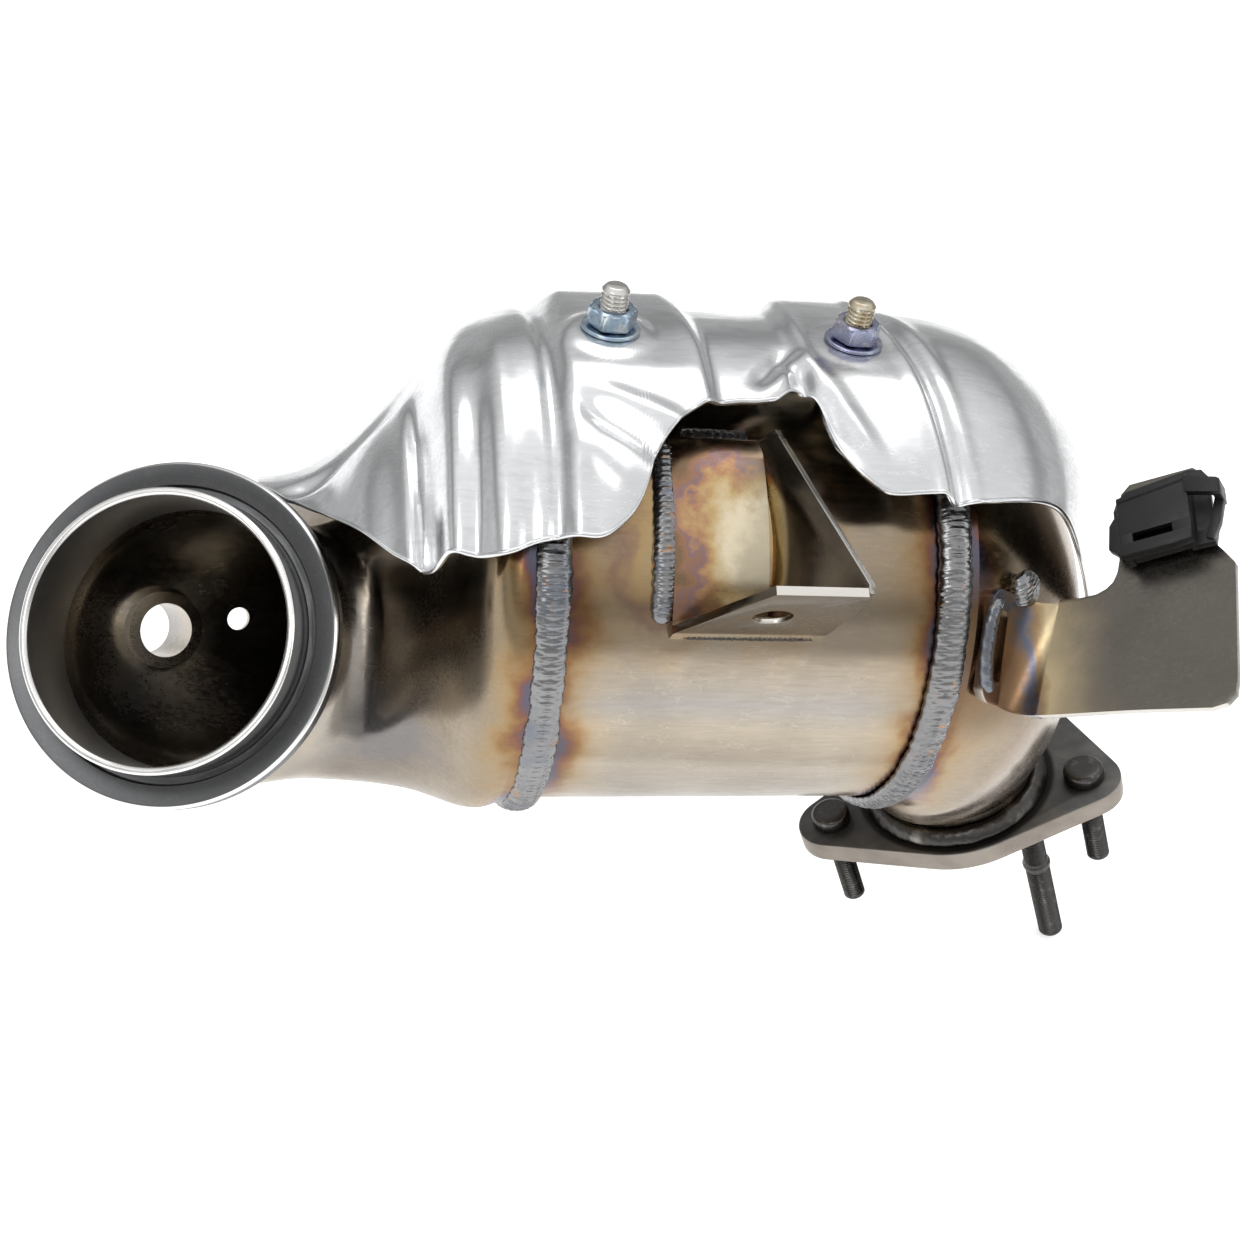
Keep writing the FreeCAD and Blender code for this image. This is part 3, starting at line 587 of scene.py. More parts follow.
def clip_bracket_finish():
    """Grey-brown sheet, straw and blue where it is bent by the weld."""
    f, base = brushed("clip_bracket_steel", (0.155, 0.142, 0.125), 0.30, (0.25, 1.0, 1.0))
    from_bend = f.vectors("SUBTRACT", f.place, tuple(clip_origin * MM))
    run = f.vectors("DOT_PRODUCT", from_bend, tuple(clip_across))
    run = f.maths("ADD", run, f.wander(60.0, 4.0, 0.0025))
    tint = f.ramp(f.spread(run, -0.014, 0.030), ((0.0, (0.22, 0.12, 0.07)), (0.14, (0.34, 0.20, 0.10)),
                                                 (0.24, (0.16, 0.19, 0.27)), (0.31, (0.40, 0.26, 0.13)),
                                                 (0.40, (0.62, 0.50, 0.30)), (0.60, (0.42, 0.34, 0.22)),
                                                 (1.0, (0.14, 0.128, 0.112))))
    base = f.blend(f.spread(run, 0.010, 0.034, 0.85, 0.0), base, tint)
    # bright sheared metal and painted highlight on the cut edges
    base = sheared_edge_and_highlight(f, base, (clip_normal, clip_foot_out, (clip_normal + clip_foot_out).normalized(),
                              (clip_normal * 3 + clip_foot_out).normalized(),
                              (clip_normal + clip_foot_out * 3).normalized()), (0.66, 0.63, 0.58))
    f.set("Base Color", base)
    return f.material


def plastic_finish():
    f = Finish("black_plastic", 0.0, 0.42)
    f.set("Base Color", f.blend(f.spread(f.grain(200.0, 3.0), 0.3, 0.7), (0.004, 0.004, 0.0045),
                                (0.007, 0.007, 0.0075)))
    f.set("Roughness", f.spread(f.grain(500.0, 3.0), 0.3, 0.7, 0.36, 0.50))
    f.relief(f.grain(2600.0, 2.0), 0.25, 0.06)
    return f.material


def zinc_finish(name, first, second, third):
    """Zinc plate with a coloured film."""
    f, base = brushed(name, first, 0.24, (1, 1, 1), scale=900.0)
    film = f.ramp(f.grain(170.0, 3.0), ((0.35, first), (0.5, second), (0.65, third)))
    f.set("Base Color", f.blend(0.75, base, film))
    return f.material


def mat_finish():
    f = Finish("fibre_mat", 0.0, 0.95)
    fibres = f.grain(900.0, 5.0, (0.2, 1, 1))
    f.set("Base Color", f.ramp(fibres, ((0.3, (0.70, 0.66, 0.58)), (0.7, (0.88, 0.86, 0.80)))))
    f.relief(f.grain(1400.0, 3.0), 0.8, 0.3)
    return f.material


def brick_finish():
    """Coated honeycomb: square cells on the two round faces, the open channels painted near-black as shade.
    """
    cell = 1.27
    f = Finish("honeycomb", 0.0, 0.85)
    cells = []
    for letter in ("Y", "Z"):
        wave = f.maths("FRACT", f.maths("MULTIPLY", f.axis(letter), 1 / (cell * MM)))
        cells.append(f.spread(f.maths("ABSOLUTE", f.maths("SUBTRACT", wave, 0.5)), 0.36, 0.42))
    wall = f.maths("MAXIMUM", cells[0], cells[1])
    # painted shade: the open channels are near-black, the walls between them pale
    f.set("Base Color", f.blend(wall, (0.02, 0.016, 0.013), (0.42, 0.34, 0.25)))
    f.relief(wall, 0.6, 0.8)
    return f.material


steel_can = can_finish()
steel_elbow = elbow_finish()
steel_cone = cone_finish()
turned_steel = ring_finish()
weld_metal = weld_finish()
shield_steel = shield_finish()
dark_weld = dark_weld_finish()
flange_steel = flange_finish()
black_steel = bolt_finish()
bracket_steel = bracket_finish()
clip_steel = clip_bracket_finish()
black_plastic = plastic_finish()
blue_zinc = zinc_finish("blue_zinc", (0.44, 0.54, 0.62), (0.30, 0.40, 0.52), (0.60, 0.64, 0.66))
violet_zinc = zinc_finish("violet_zinc", (0.40, 0.42, 0.54), (0.30, 0.32, 0.48), (0.56, 0.53, 0.56))
silver_zinc = zinc_finish("silver_zinc", (0.72, 0.71, 0.68), (0.60, 0.58, 0.55), (0.80, 0.78, 0.74))
golden_zinc = zinc_finish("golden_zinc", (0.62, 0.55, 0.42), (0.48, 0.41, 0.30), (0.70, 0.66, 0.55))
fibre = mat_finish()
honeycomb = brick_finish()

node_finish = {"inlet_ring": turned_steel, "inlet_elbow": steel_elbow, "sensor_bung": steel_elbow,
               "can_shell": steel_can, "support_mat": fibre, "catalyst_brick": honeycomb,
               "outlet_cone": steel_cone, "outlet_flange": flange_steel, "mount_bracket": bracket_steel,
               "clip_bracket": clip_steel, "connector_clip": black_plastic, "heat_shield": shield_steel,
               "flange_bolt_left": black_steel, "flange_bolt_right": black_steel,
               "outlet_long_stud": black_steel, "shield_nut_left": blue_zinc,
               "shield_washer_left": blue_zinc, "shield_stud_left": silver_zinc,
               "shield_nut_right": violet_zinc, "shield_washer_right": violet_zinc,
               "shield_stud_right": golden_zinc}
for name, node in frame["nodes"].items():
    node.data.materials.clear()
    node.data.materials.append(node_finish.get(name, weld_metal))

# ---- heat shield --------------------------------------------------------------------------
# the shield's cut edge, going round from the inlet end: millimetres along X, degrees towards -Y
shield_edge = ((24, -14), (32, -3), (40, 10), (50, 25.5), (59, 38), (66, 45), (70.5, 48.5), (74, 46.3),
               (79, 48), (84, 49.3), (90, 49.3), (96, 48), (105, 47), (113, 47), (118, 45), (122, 42),
               (125, 38), (128.2, 31.6), (132.7, 26.5), (141.7, 20.6), (152.7, 18.5), (163.7, 18.3),
               (169, 15.7), (173.5, 15.2), (176.5, 18), (179.5, 27), (183, 32), (188, 35.7), (193, 37.7),
               (208, 37.3), (212, 39), (216, 39), (235, 38), (246, 39), (252, 42), (258, 49), (265, 60),
               (272, 70), (279, 82))
hoop_size = [(hoop[0], Vector(hoop[1:4])) for hoop in shield_hoops]


def along_line(x, angle, start, end):
    """How far along a crease this place is (0 to 1), and how far beside it, in millimetres."""
    reach = math.radians(1) * 84.0
    line = Vector((end[0] - start[0], (end[1] - start[1]) * reach))
    spot = Vector((x - start[0], (angle - start[1]) * reach))
    share = spot.dot(line) / line.length_squared
    beside = (spot.x * line.y - spot.y * line.x) / line.length
    return share, beside


def crease(x, angle, start, end, width, depth, fade=0.25):
    """A pressed-in line that dies away at its ends."""
    share, beside = along_line(x, angle, start, end)
    return -depth * bump(beside, 0.0, width) * ease(-fade, fade, share) * ease(1 + fade, 1 - fade, share)


def shield_relief(x, angle):
    """Everything pressed into the sheet, in millimetres outwards."""
    front = ease(-22, 8, angle)
    valley = -5.0 * bump(x, 67.5 + 0.03 * angle, 2.4) * ease(-14, 14, angle)
    folds = front * (3.6 * bump(x, 53, 7.5) + 2.6 * bump(x, 74.5, 3.6)
                     - 2.4 * bump(x, 81.5, 3.0) * ease(6, 26, angle)
                     + 1.6 * bump(x, 88.5, 4.0) - 0.8 * bump(x, 95, 2.6) * ease(20, 40, angle))
    swoop = crease(x, angle, (34, -4), (64, -14), 6.5, 3.0)
    groove = (-2.3 * bump(x, 102.0, 2.8) * ease(-100, -70, angle)
              + 0.8 * bump(x, 107.5, 2.4) * ease(-20, 10, angle))
    bay = -1.6 * ease(144, 149.5, x) * ease(177, 171.5, x) * ease(-60, -30, angle)
    lip = (1.0 * bump(x, 143.5, 2.4) * ease(-30, 0, angle)
           + 1.0 * bump(x, 177.0, 2.4) * ease(-50, -20, angle))
    rib = (1.4 * bump(x, 204.5 + 0.13 * angle, 2.4) - 2.0 * bump(x, 209.5 + 0.10 * angle, 2.2)
           + 0.7 * bump(x, 214.5 + 0.10 * angle, 2.6)) * ease(-70, -40, angle)
    fork = (crease(x, angle, (112, 21.5), (133, 33.0), 3.2, 2.6)
            + crease(x, angle, (113, 16.5), (139, 26), 3.4, -1.5)
            + crease(x, angle, (109, 28.0), (122, 38), 4.0, -1.2))
    tuck = (crease(x, angle, (170.5, 8), (182.0, 29), 3.0, 2.4)
            + crease(x, angle, (162, 18), (175, 6), 3.6, -2.2)
            + crease(x, angle, (160, 13), (171, 3), 2.6, 1.5)
            + crease(x, angle, (177, 8), (190, 30), 3.0, -1.2))
    dents = 0.9 * noise.noise(Vector((x * 0.035, angle * 0.05, 3.0)))
    return valley + folds + swoop + groove + bay + lip + rib + fork + tuck + dents


def pad_share(x, angle):
    """1 on the two flat pads that carry the nuts."""
    across = max(ease(103, 111, x) * ease(148, 140, x), ease(173, 181, x) * ease(208, 200, x))
    return across * ease(19, 10, angle) * ease(-36, -22, angle)


def shield_point(u, v):
    """A place on the sheet: u along the can, v from the cut edge in front to the rear edge."""
    x = 24 + 255 * u
    size = spline(hoop_size, x)
    front = spline(shield_edge, x)
    angle = front + (shield_rear - front) * v ** 1.25
    calm = ease(24, 34, x) * ease(279, 262, x)
    point = Vector((x, size.x, size.y)) + radial(angle) * (size.z + shield_relief(x, angle) * calm)
    point.z += (can_start.z + seat_height + 0.2 - point.z) * 0.42 * pad_share(x, angle)
    for along in nut_places.values():
        seat = on_can(along, 0, seat_height)
        away = math.hypot(point.x - seat.x, point.y - seat.y)
        point.z += (seat.z - point.z) * ease(15.0, 9.6, away) * ease(-1, 1, point.z - can_start.z - 60)
    return point


def heat_shield():
    """Pressed sheet with wrinkles, stud seats and a rolled cut edge."""
    cover = lattice(270, 150, shield_point)
    middle = cover.data.polygons[len(cover.data.polygons) // 2]
    if middle.normal.dot(middle.center - can_start * MM) < 0:
        edit(cover, bpy.ops.mesh.flip_normals)
    apply(cover, "SOLIDIFY", thickness=shield_sheet * MM, offset=-1, use_even_offset=False)
    apply(cover, "BEVEL", width=0.3 * MM, segments=2, limit_method="ANGLE", angle_limit=math.radians(60))

    def rim(u, v):
        a = 2 * math.pi * v
        spot = shield_point(u, 0.0)
        outwards = (shield_point(u, 0.002) - spot).normalized()
        ahead, behind = shield_point(min(1.0, u + 0.002), 0.0), shield_point(max(0.0, u - 0.002), 0.0)
        lift = (ahead - behind).normalized().cross(outwards)
        return spot + outwards * (0.3 + 0.75 * math.cos(a)) + lift * (0.8 * math.sin(a))
    hem = lattice(520, 10, rim, round_rows=True, caps=True)
    cover = joined([cover, hem])
    smooth(cover, 50)
    finished(cover, "heat_shield_sheet", shield_steel, "shield", "heat_shield")


# ---- welds --------------------------------------------------------------------------------
def bead(name, path, length, half_width, height, nodes, pitch=1.9, ring=False, bite=0.5,
         material=None, ripple=0.75):
    """A rippled run of weld. path(s) gives the middle of its foot, the way across and the way up."""
    steps = int(length / pitch * 8)
    seed = len(name) * 3.1
    count = round(length / pitch)

    def uneven(u, size, level):
        """Noise read round a circle of this size."""
        a = 2 * math.pi * u
        return noise.noise(Vector((math.cos(a) * size, math.sin(a) * size, level)))

    def place(u, v):
        middle, across, up = path(u)
        a = 2 * math.pi * v
        side, crown = math.cos(a), math.sin(a)
        wobble = uneven(u, length * 0.02, seed)
        taper = 1.0 if ring else max(0.02, 1 - abs(2 * u - 1) ** 14) ** 0.5
        wide = half_width * taper * (1 + 0.10 * wobble + 0.03 * math.sin(2 * math.pi * u * count * 0.5)
                                      + 0.05 * noise.noise(Vector((u * count * 0.9, seed, side))))
        if crown < 0:
            return middle + across * (side * wide) + up * (bite * crown)
        turn = u * count + 2.1 * side * side + 0.5 * uneven(u, count * 0.11, seed)
        scale = (turn % 1.0) ** 2.0 * (1 if turn % 1.0 < 0.86 else (1 - turn % 1.0) / 0.14)
        lumps = 0.10 * uneven(u, length * 0.08, side * 1.5 + seed)
        lift = height * taper * (crown ** 0.75) * (1 + 0.10 * wobble + lumps)
        lift += ripple * scale * crown ** 0.5 * taper
        return middle + across * (side * wide) + up * lift
    run = lattice(steps, 20, place, round_rows=True, round_columns=ring, caps=not ring)
    smooth(run, 60)
    return finished(run, name, material or weld_metal, "weld", *nodes)


def round_path(centre, axis, radius, lean=0.0):
    """A circle to weld along. lean tips the bead from straight out towards the axis's far end."""
    first, second = square_to(axis, Vector((0, 0, 1)) if abs(axis.z) < 0.9 else ALONG)
    tip = math.radians(lean)

    def path(s):
        a = 2 * math.pi * s
        out = first * math.cos(a) + second * math.sin(a)
        up = out * math.cos(tip) - axis * math.sin(tip)
        return centre + out * radius, axis * math.cos(tip) + out * math.sin(tip), up
    return path


def girth_welds():
    shoulder = can_radius + sheet
    for name, place, towards in (("inlet_seam_bead", can_start + ALONG * 1.0, ALONG),
                                 ("outlet_seam_bead", can_start + ALONG * (can_length - 1.0), -ALONG)):
        node = name.replace("bead", "weld")
        bead(name, round_path(place, towards, shoulder - 0.9), 2 * math.pi * shoulder, 4.9, 2.9, [node],
             pitch=2.3, ring=True, bite=0.9)


def flange_weld():
    path = round_path(outlet_centre - outlet_dir * 2.0, outlet_dir, outlet_pipe + 2.0, 40)
    bead("outlet_flange_bead", path, 2 * math.pi * 31.0, 3.4, 2.0, ["outlet_flange_weld"], pitch=4.2,
         ring=True, bite=0.9, material=dark_weld, ripple=0.18)


def inlet_ring_bead():
    path = round_path(-mouth_dir * (ring_depth + 1.2), mouth_dir, pipe_radius + 1.0, 45)
    bead("inlet_ring_bead", path, 2 * math.pi * 42.5, 2.2, 1.4, ["inlet_ring_weld"], ring=True, bite=0.6)


def bracket_beads():
    left, top, foot = bracket_left, 20.5, 66.0

    def side(s):
        angle = top + (foot - 1.0 - top) * s
        return on_can(left - 1.3 - 1.2 * s, angle, can_radius), ALONG, radial(angle)

    def upper(s):
        return on_can(left + 4 + 20 * s, top - 1.0, can_radius), radial(90 + top), radial(top)

    def under(s):
        return on_can(left + 2 + 41 * s, foot + 1.2, can_radius), radial(90 + foot), radial(foot)
    bead("bracket_side_bead", side, 55.0, 3.5, 2.6, ["bracket_weld_side"], pitch=1.8)
    bead("bracket_top_bead", upper, 21.0, 3.3, 2.0, ["bracket_weld_top"], pitch=2.0)
    bead("bracket_under_bead", under, 42.0, 1.5, 1.2, ["bracket_weld_under"], pitch=1.5, material=dark_weld)


def clip_beads():
    """Plug weld in the foot's slot, and the lumpy tack above it."""
    out = clip_foot_out
    up = (clip_up - out * clip_up.dot(out)).normalized()
    across = up.cross(out)
    if across.dot(clip_across) > 0:
        across = -across
    middle = clip_origin + across * 11.2 - out * 3.0
    up = (up + across * 0.30).normalized()

    def plug(s):
        turn = math.pi * (s - 0.5) * 1.25
        spot = middle + across * (2.2 + 2.4 * math.cos(turn)) - up * (12.0 * math.sin(turn) * 0.98)
        ahead = (-across * (2.4 * math.sin(turn)) - up * (12.0 * math.cos(turn))).normalized()
        return spot, ahead.cross(out), out
    bead("clip_foot_bead", plug, 34.0, 2.3, 1.9, ["clip_bracket_weld"], pitch=1.9, bite=2.0, ripple=0.3)
    low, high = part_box("clip_bracket_tack")
    centre = (low + high) / 2
    start_clean()
    bpy.ops.mesh.primitive_ico_sphere_add(subdivisions=5, radius=5.4 * MM, location=centre)
    lump = settle(bpy.context.object)
    for vertex in lump.data.vertices:
        away = vertex.co - centre
        rough = noise.noise(vertex.co * 190) * 0.24 + noise.noise(vertex.co * 500) * 0.03
        ridge = 0.03 * math.sin(away.dot(across + up) / MM * 3.4)
        vertex.co = centre + away * (1 + rough + ridge) - out * (away.dot(out) * 0.25)
    smooth(lump, 60)
    finished(lump, "clip_foot_tack", weld_metal, "weld", "clip_bracket_tack")


# ---- threaded pieces ----------------------------------------------------------------------
thread_pitch = 1.25
thread_clearance = 0.4
collar_place = 84.0
stud_above_seat = 13.4
washer_thickness = 1.3
nut_flats = 12.4
nut_height = 5.8


def rod(centre, axis, rows, steps=56):
    """Turned piece from (height, radius) rows; a radius may be a function of the turn."""
    first, second = square_to(axis, ALONG if abs(axis.x) < 0.9 else Vector((0, 0, 1)))
    last = len(rows) - 1

    def place(u, v):
        height, radius = rows[round(v * last)]
        size = radius(u) if callable(radius) else radius
        a = 2 * math.pi * u
        return centre + axis * height + (first * math.cos(a) + second * math.sin(a)) * size
    return lattice(steps, last, place, round_rows=True)


def threaded(start, end, radius, pitch):
    """Rows of a screw thread that runs out at both ends."""
    rows = []
    count = int((end - start) / pitch * 10)
    for i in range(count + 1):
        height = start + (end - start) * i / count
        fade = ease(start, start + pitch, height) * ease(end, end - pitch, height)

        def size(u, height=height, fade=fade):
            phase = (height / pitch + u) % 1.0
            return radius - 0.62 * pitch * fade * abs(2 * phase - 1) ** 1.2
        rows.append((height, size))
    return rows


def rounded_end(height, radius):
    """Rows that close a shank with a domed tip."""
    return [(height + radius * 0.45 * math.sin(a), radius * math.cos(a))
            for a in [math.radians(15 * i) for i in range(1, 7)]]


def hexagon(across_flats, limit):
    """Radius of a hexagon by turn, no larger than the limit."""
    def size(u):
        turn = (u * 6) % 1.0
        return min(limit, across_flats / 2 / math.cos((turn - 0.5) * math.pi / 3))
    return size


def flange_fasteners():
    for side, radius, reach in (("left", 4.0, 33.0), ("right", 4.0, 33.0), ("rear", 5.0, 128.0)):
        distance, angle = bolt_places[side]
        a = math.radians(angle)
        seat = (outlet_centre + flange_across * (distance * math.cos(a))
                + flange_beyond * (distance * math.sin(a)))
        head = [(-5.0, 0.0), (-5.05, 3.0), (-5.0, 5.4), (-4.85, 5.95), (-4.5, 6.45), (-4.0, 6.75),
                (-3.4, 6.9), (-0.8, 7.0), (-0.2, 6.95), (0.0, 6.7), (0.05, radius + thread_clearance),
                (flange_thickness, radius + thread_clearance)]
        shank = [(flange_thickness + 0.1, radius)]
        tail = flange_thickness + reach
        if side == "rear":
            collar = flange_thickness + collar_place
            shank += threaded(flange_thickness + 1, collar - 1, radius - 0.2, thread_pitch)
            shank += [(collar - 0.6, radius), (collar, radius + 0.6), (collar + 1.4, radius + 0.6)]
            shank += threaded(collar + 2.2, tail - 2.6, radius, thread_pitch)
        else:
            shank += threaded(flange_thickness + 1, tail - 2.2, radius, thread_pitch)
        rows = head + shank + rounded_end(shank[-1][0] + 0.1, radius - 0.3)
        piece = smooth(rod(seat, outlet_dir, rows), 30)
        node = "outlet_long_stud" if side == "rear" else "flange_bolt_" + side
        finished(piece, node + "_thread", black_steel, "black_bolt", node)


def shield_fasteners():
    up = Vector((0, 0, 1))
    for side, metal, plate in (("left", silver_zinc, blue_zinc), ("right", golden_zinc, violet_zinc)):
        base = on_can(nut_places[side], 0, 0)
        low, seat = can_radius - 0.4, seat_height
        rows = [(low, 0.0), (low, 7.6), (low + 1.0, 7.0), (seat - 3.6, 7.0), (seat - 3.5, 6.6),
                (seat - 3.4, 3.9)]
        tip = seat + stud_above_seat
        rows += threaded(seat - 3, tip - 1.2, 4.0, thread_pitch)
        rows += [(tip - 1.0, 3.8), (tip - 0.2, 3.1), (tip, 2.7), (tip, 0.0)]
        stud = smooth(rod(base, up, rows), 30)
        finished(stud, "shield_stud_thread_" + side, metal, "zinc", "shield_stud_" + side)
        washer = turned([(4.4, seat), (8.0, seat), (8.45, seat + 0.3), (8.6, seat + 0.7), (8.4, seat + 1.15),
                         (7.9, seat + washer_thickness), (7.2, seat + 1.15), (4.4, seat + 1.15)],
                        base, up, 96)
        finished(smooth(washer, 50), "shield_washer_rolled_" + side, plate, "zinc", "shield_washer_" + side)
        nut = turned_hex(base, up, seat + washer_thickness, nut_flats, nut_height)
        finished(nut, "shield_nut_hex_" + side, plate, "zinc", "shield_nut_" + side)


def turned_hex(base, up, foot, flats, tall):
    """Plain nut: hexagon with turned chamfers and a countersunk bore."""
    corner = flats / math.sqrt(3)
    top = foot + tall
    rows = [(foot, 4.0), (foot, flats / 2 - 0.3), (foot + 0.5, hexagon(flats, corner - 0.35)),
            (foot + 0.9, hexagon(flats, corner)), (top - 1.0, hexagon(flats, corner)),
            (top - 0.55, hexagon(flats, corner - 0.35)), (top - 0.1, flats / 2 - 0.15),
            (top, flats / 2 - 0.5), (top, 4.7), (top - 0.6, 4.05), (foot, 4.0)]
    return smooth(rod(base, up, rows, steps=96), 28)


# ---- brackets, flange and clip ------------------------------------------------------------
def softened(node, name, material, slot, width):
    """A node's own shape with rounded cut edges."""
    obj = cad_copy(node)
    edit(obj, lambda: bpy.ops.mesh.dissolve_limited(angle_limit=math.radians(0.6)))
    apply(obj, "BEVEL", width=width * MM, segments=3, limit_method="ANGLE", angle_limit=math.radians(40),
          use_clamp_overlap=True, harden_normals=False)
    smooth(obj, 40)
    return finished(obj, name, material, slot, node)


def slab(name, corners, way, round_by=0.0):
    """The outline through these corners, drawn out along a way, with its edges rounded."""
    mesh = bmesh.new()
    ring = [mesh.verts.new(corner * MM) for corner in corners]
    grown = bmesh.ops.extrude_face_region(mesh, geom=[mesh.faces.new(ring)])
    far = [item for item in grown["geom"] if isinstance(item, bmesh.types.BMVert)]
    bmesh.ops.translate(mesh, verts=far, vec=way * MM)
    bmesh.ops.recalc_face_normals(mesh, faces=mesh.faces)
    if round_by:
        bmesh.ops.bevel(mesh, geom=mesh.edges[:], offset=round_by * MM, segments=2, profile=0.6,
                        affect="EDGES", clamp_overlap=True)
    data = bpy.data.meshes.new(name)
    mesh.to_mesh(data)
    mesh.free()
    made = bpy.data.objects.new(name, data)
    bpy.context.scene.collection.objects.link(made)
    return made


def clip_plate(outline, low, high):
    """A moulded slab over an outline given across and up the bracket's face."""
    corners = [clip_origin + clip_across * a + clip_up * b + clip_normal * low for a, b in outline]
    return slab("clip_plate", corners, clip_normal * (high - low), round_by=0.35)


def joined(parts):
    start_clean()
    for part in parts:
        part.select_set(True)
    bpy.context.view_layer.objects.active = parts[0]
    bpy.ops.object.join()
    return parts[0]


def cable_clip():
    """Black clip: back plate, hollow block with a slot below, side wing and a sprung hook."""
    back = [(29.0, 24.5), (29.0, 38.5), (30.5, 42.0), (33.0, 44.0), (51.0, 46.8), (54.5, 46.2), (56.3, 43.5),
            (56.3, 24.5)]
    parts = [clip_plate(back, 0.2, 2.6),
             clip_plate([(32.0, 38.2), (51.5, 41.6), (51.5, 39.2), (32.0, 35.8)], 2.0, 12.0),
             clip_plate([(32.0, 37.4), (51.5, 40.8), (51.5, 28.4), (32.0, 26.6)], 9.4, 12.0),
             clip_plate([(32.0, 27.6), (35.6, 27.6), (35.6, 22.6), (32.0, 20.6)], 9.4, 12.0),
             clip_plate([(46.4, 28.6), (51.5, 29.0), (51.5, 23.8), (46.4, 23.2)], 9.4, 12.0),
             clip_plate([(32.0, 23.6), (51.5, 25.2), (51.5, 22.2), (46.5, 21.2), (32.0, 20.2)], 8.6, 13.4),
             clip_plate([(32.0, 37.4), (34.0, 37.6), (34.0, 21.0), (32.0, 20.6)], 2.0, 11.8),
             clip_plate([(49.6, 40.2), (51.5, 40.6), (51.5, 22.4), (49.6, 22.2)], 2.0, 11.8),
             clip_plate([(33.0, 25.8), (50.5, 27.4), (50.5, 23.2), (33.0, 21.4)], 2.0, 6.6),
             clip_plate([(27.8, 25.0), (28.6, 32.0), (31.0, 35.2), (33.2, 35.6), (33.2, 22.8), (30.2, 23.0)],
                        4.4, 8.2),
             clip_plate([(50.8, 41.2), (60.0, 38.6), (60.0, 34.0), (50.8, 36.2)], 9.2, 12.4),
             clip_plate([(58.0, 39.2), (60.4, 38.4), (60.4, 33.4), (58.0, 34.0)], 3.4, 12.0),
             clip_plate([(57.8, 34.6), (60.4, 34.0), (58.6, 27.2), (56.2, 22.6), (54.2, 23.6), (56.0, 28.0)],
                        4.6, 7.6),
             clip_plate([(50.8, 26.2), (57.4, 26.6), (56.4, 22.4), (50.8, 22.2)], 2.4, 6.0)]
    finished(smooth(joined(parts), 40), "cable_clip", black_plastic, "plastic", "connector_clip")


def clip_strip():
    """One sheet: slotted foot on the cone, a round bend, and the plate that carries the cable clip."""
    foot_up = (clip_up - clip_foot_out * clip_up.dot(clip_foot_out)).normalized()
    beside = foot_up.cross(clip_foot_out)
    if beside.dot(clip_across) > 0:
        beside = -beside
    setback = 8.0
    foot_plane = clip_origin - clip_foot_out * 2.6
    foot_flat, arc = 16.0 - setback, 1.75 * setback
    total = foot_flat + arc + 62.0 - setback
    foot_line = (foot_up + beside * 0.30).normalized()
    bottom = [(-5.0, -15.5), (-3.0, -17.0), (0.0, -17.6), (20.0, -20.0), (51.0, -23.9), (55.0, -23.2),
              (57.6, -20.8), (58.6, -16.5), (60.0, -3.0), (62.0, 16.5)]
    top = [(-2.0, 16.4), (4.8, 15.2), (15.0, 14.4), (21.0, 14.6), (25.0, 15.8), (27.5, 17.4), (29.3, 20.0),
           (30.5, 24.0), (33.0, 43.5), (36.0, 46.3), (54.0, 47.5), (56.6, 45.0), (57.1, 42.0), (57.3, 23.5),
           (59.5, 20.5), (62.0, 16.6)]

    def edge(stops, a):
        for (near, low), (far, high) in zip(stops, stops[1:]):
            if a <= far:
                return low + (high - low) * clamp((a - near) / (far - near))
        return stops[-1][1]

    def place(u, v):
        run = total * u
        if run < foot_flat:
            rounded = max(0.0, 1 - run / 3.5) ** 2 * 3.0
            reach = (-17.0 + rounded) + (33.5 - 2 * rounded) * v
            return foot_plane + beside * (16.0 - run) + foot_line * reach
        if run < foot_flat + arc:
            t = (run - foot_flat) / arc
            point = foot_plane + (beside * (1 - t) ** 2 + clip_across * t ** 2) * setback
            plate_line = clip_up + clip_across * 0.30
            reach = -17.0 - 1.6 * t + (33.5 - 1.0 * t) * v
            return point + (foot_line * (1 - t) + plate_line * t) * reach
        a = run - foot_flat - arc + setback
        low, high = edge(bottom, a), edge(top, a)
        b = low + (high - low) * v
        return foot_plane + clip_across * (a + 0.30 * b * ease(34, 8, a)) + clip_up * b
    strip = lattice(190, 36, place)
    middle = strip.data.polygons[len(strip.data.polygons) // 2]
    if middle.normal.dot(clip_normal) < 0:
        edit(strip, bpy.ops.mesh.flip_normals)
    apply(strip, "SOLIDIFY", thickness=clip_sheet * MM, offset=-1, use_even_offset=False)
    cutter = clip_slot(foot_plane + beside * 11.0, foot_line, beside)
    apply(strip, "BOOLEAN", operation="DIFFERENCE", object=cutter, solver="EXACT")
    bpy.data.objects.remove(cutter, do_unlink=True)
    apply(strip, "BEVEL", width=0.6 * MM, segments=3, limit_method="ANGLE", angle_limit=math.radians(60))
    smooth(strip, 40)
    finished(strip, "clip_bracket_pressed", clip_steel, "clip_steel", "clip_bracket")


def clip_slot(centre, along, beside, half=8.6, radius=2.4):
    """The cutter for the foot's slot, round at both ends."""
    corners = []
    for i in range(40):
        a = 2 * math.pi * (i + 0.5) / 40
        rise = radius * math.sin(a) + math.copysign(half, math.sin(a))
        corners.append(centre + beside * (radius * math.cos(a)) + along * rise + clip_foot_out * 3)
    return slab("slot", corners, clip_foot_out * -12)


def brackets():
    softened("mount_bracket", "mount_bracket_pressed", bracket_steel, "bracket", 0.7)
    clip_strip()
    softened("outlet_flange", "outlet_flange_plate", flange_steel, "flange", 0.6)
    softened("inlet_ring", "inlet_ring_turned", turned_steel, "ring", 0.25)


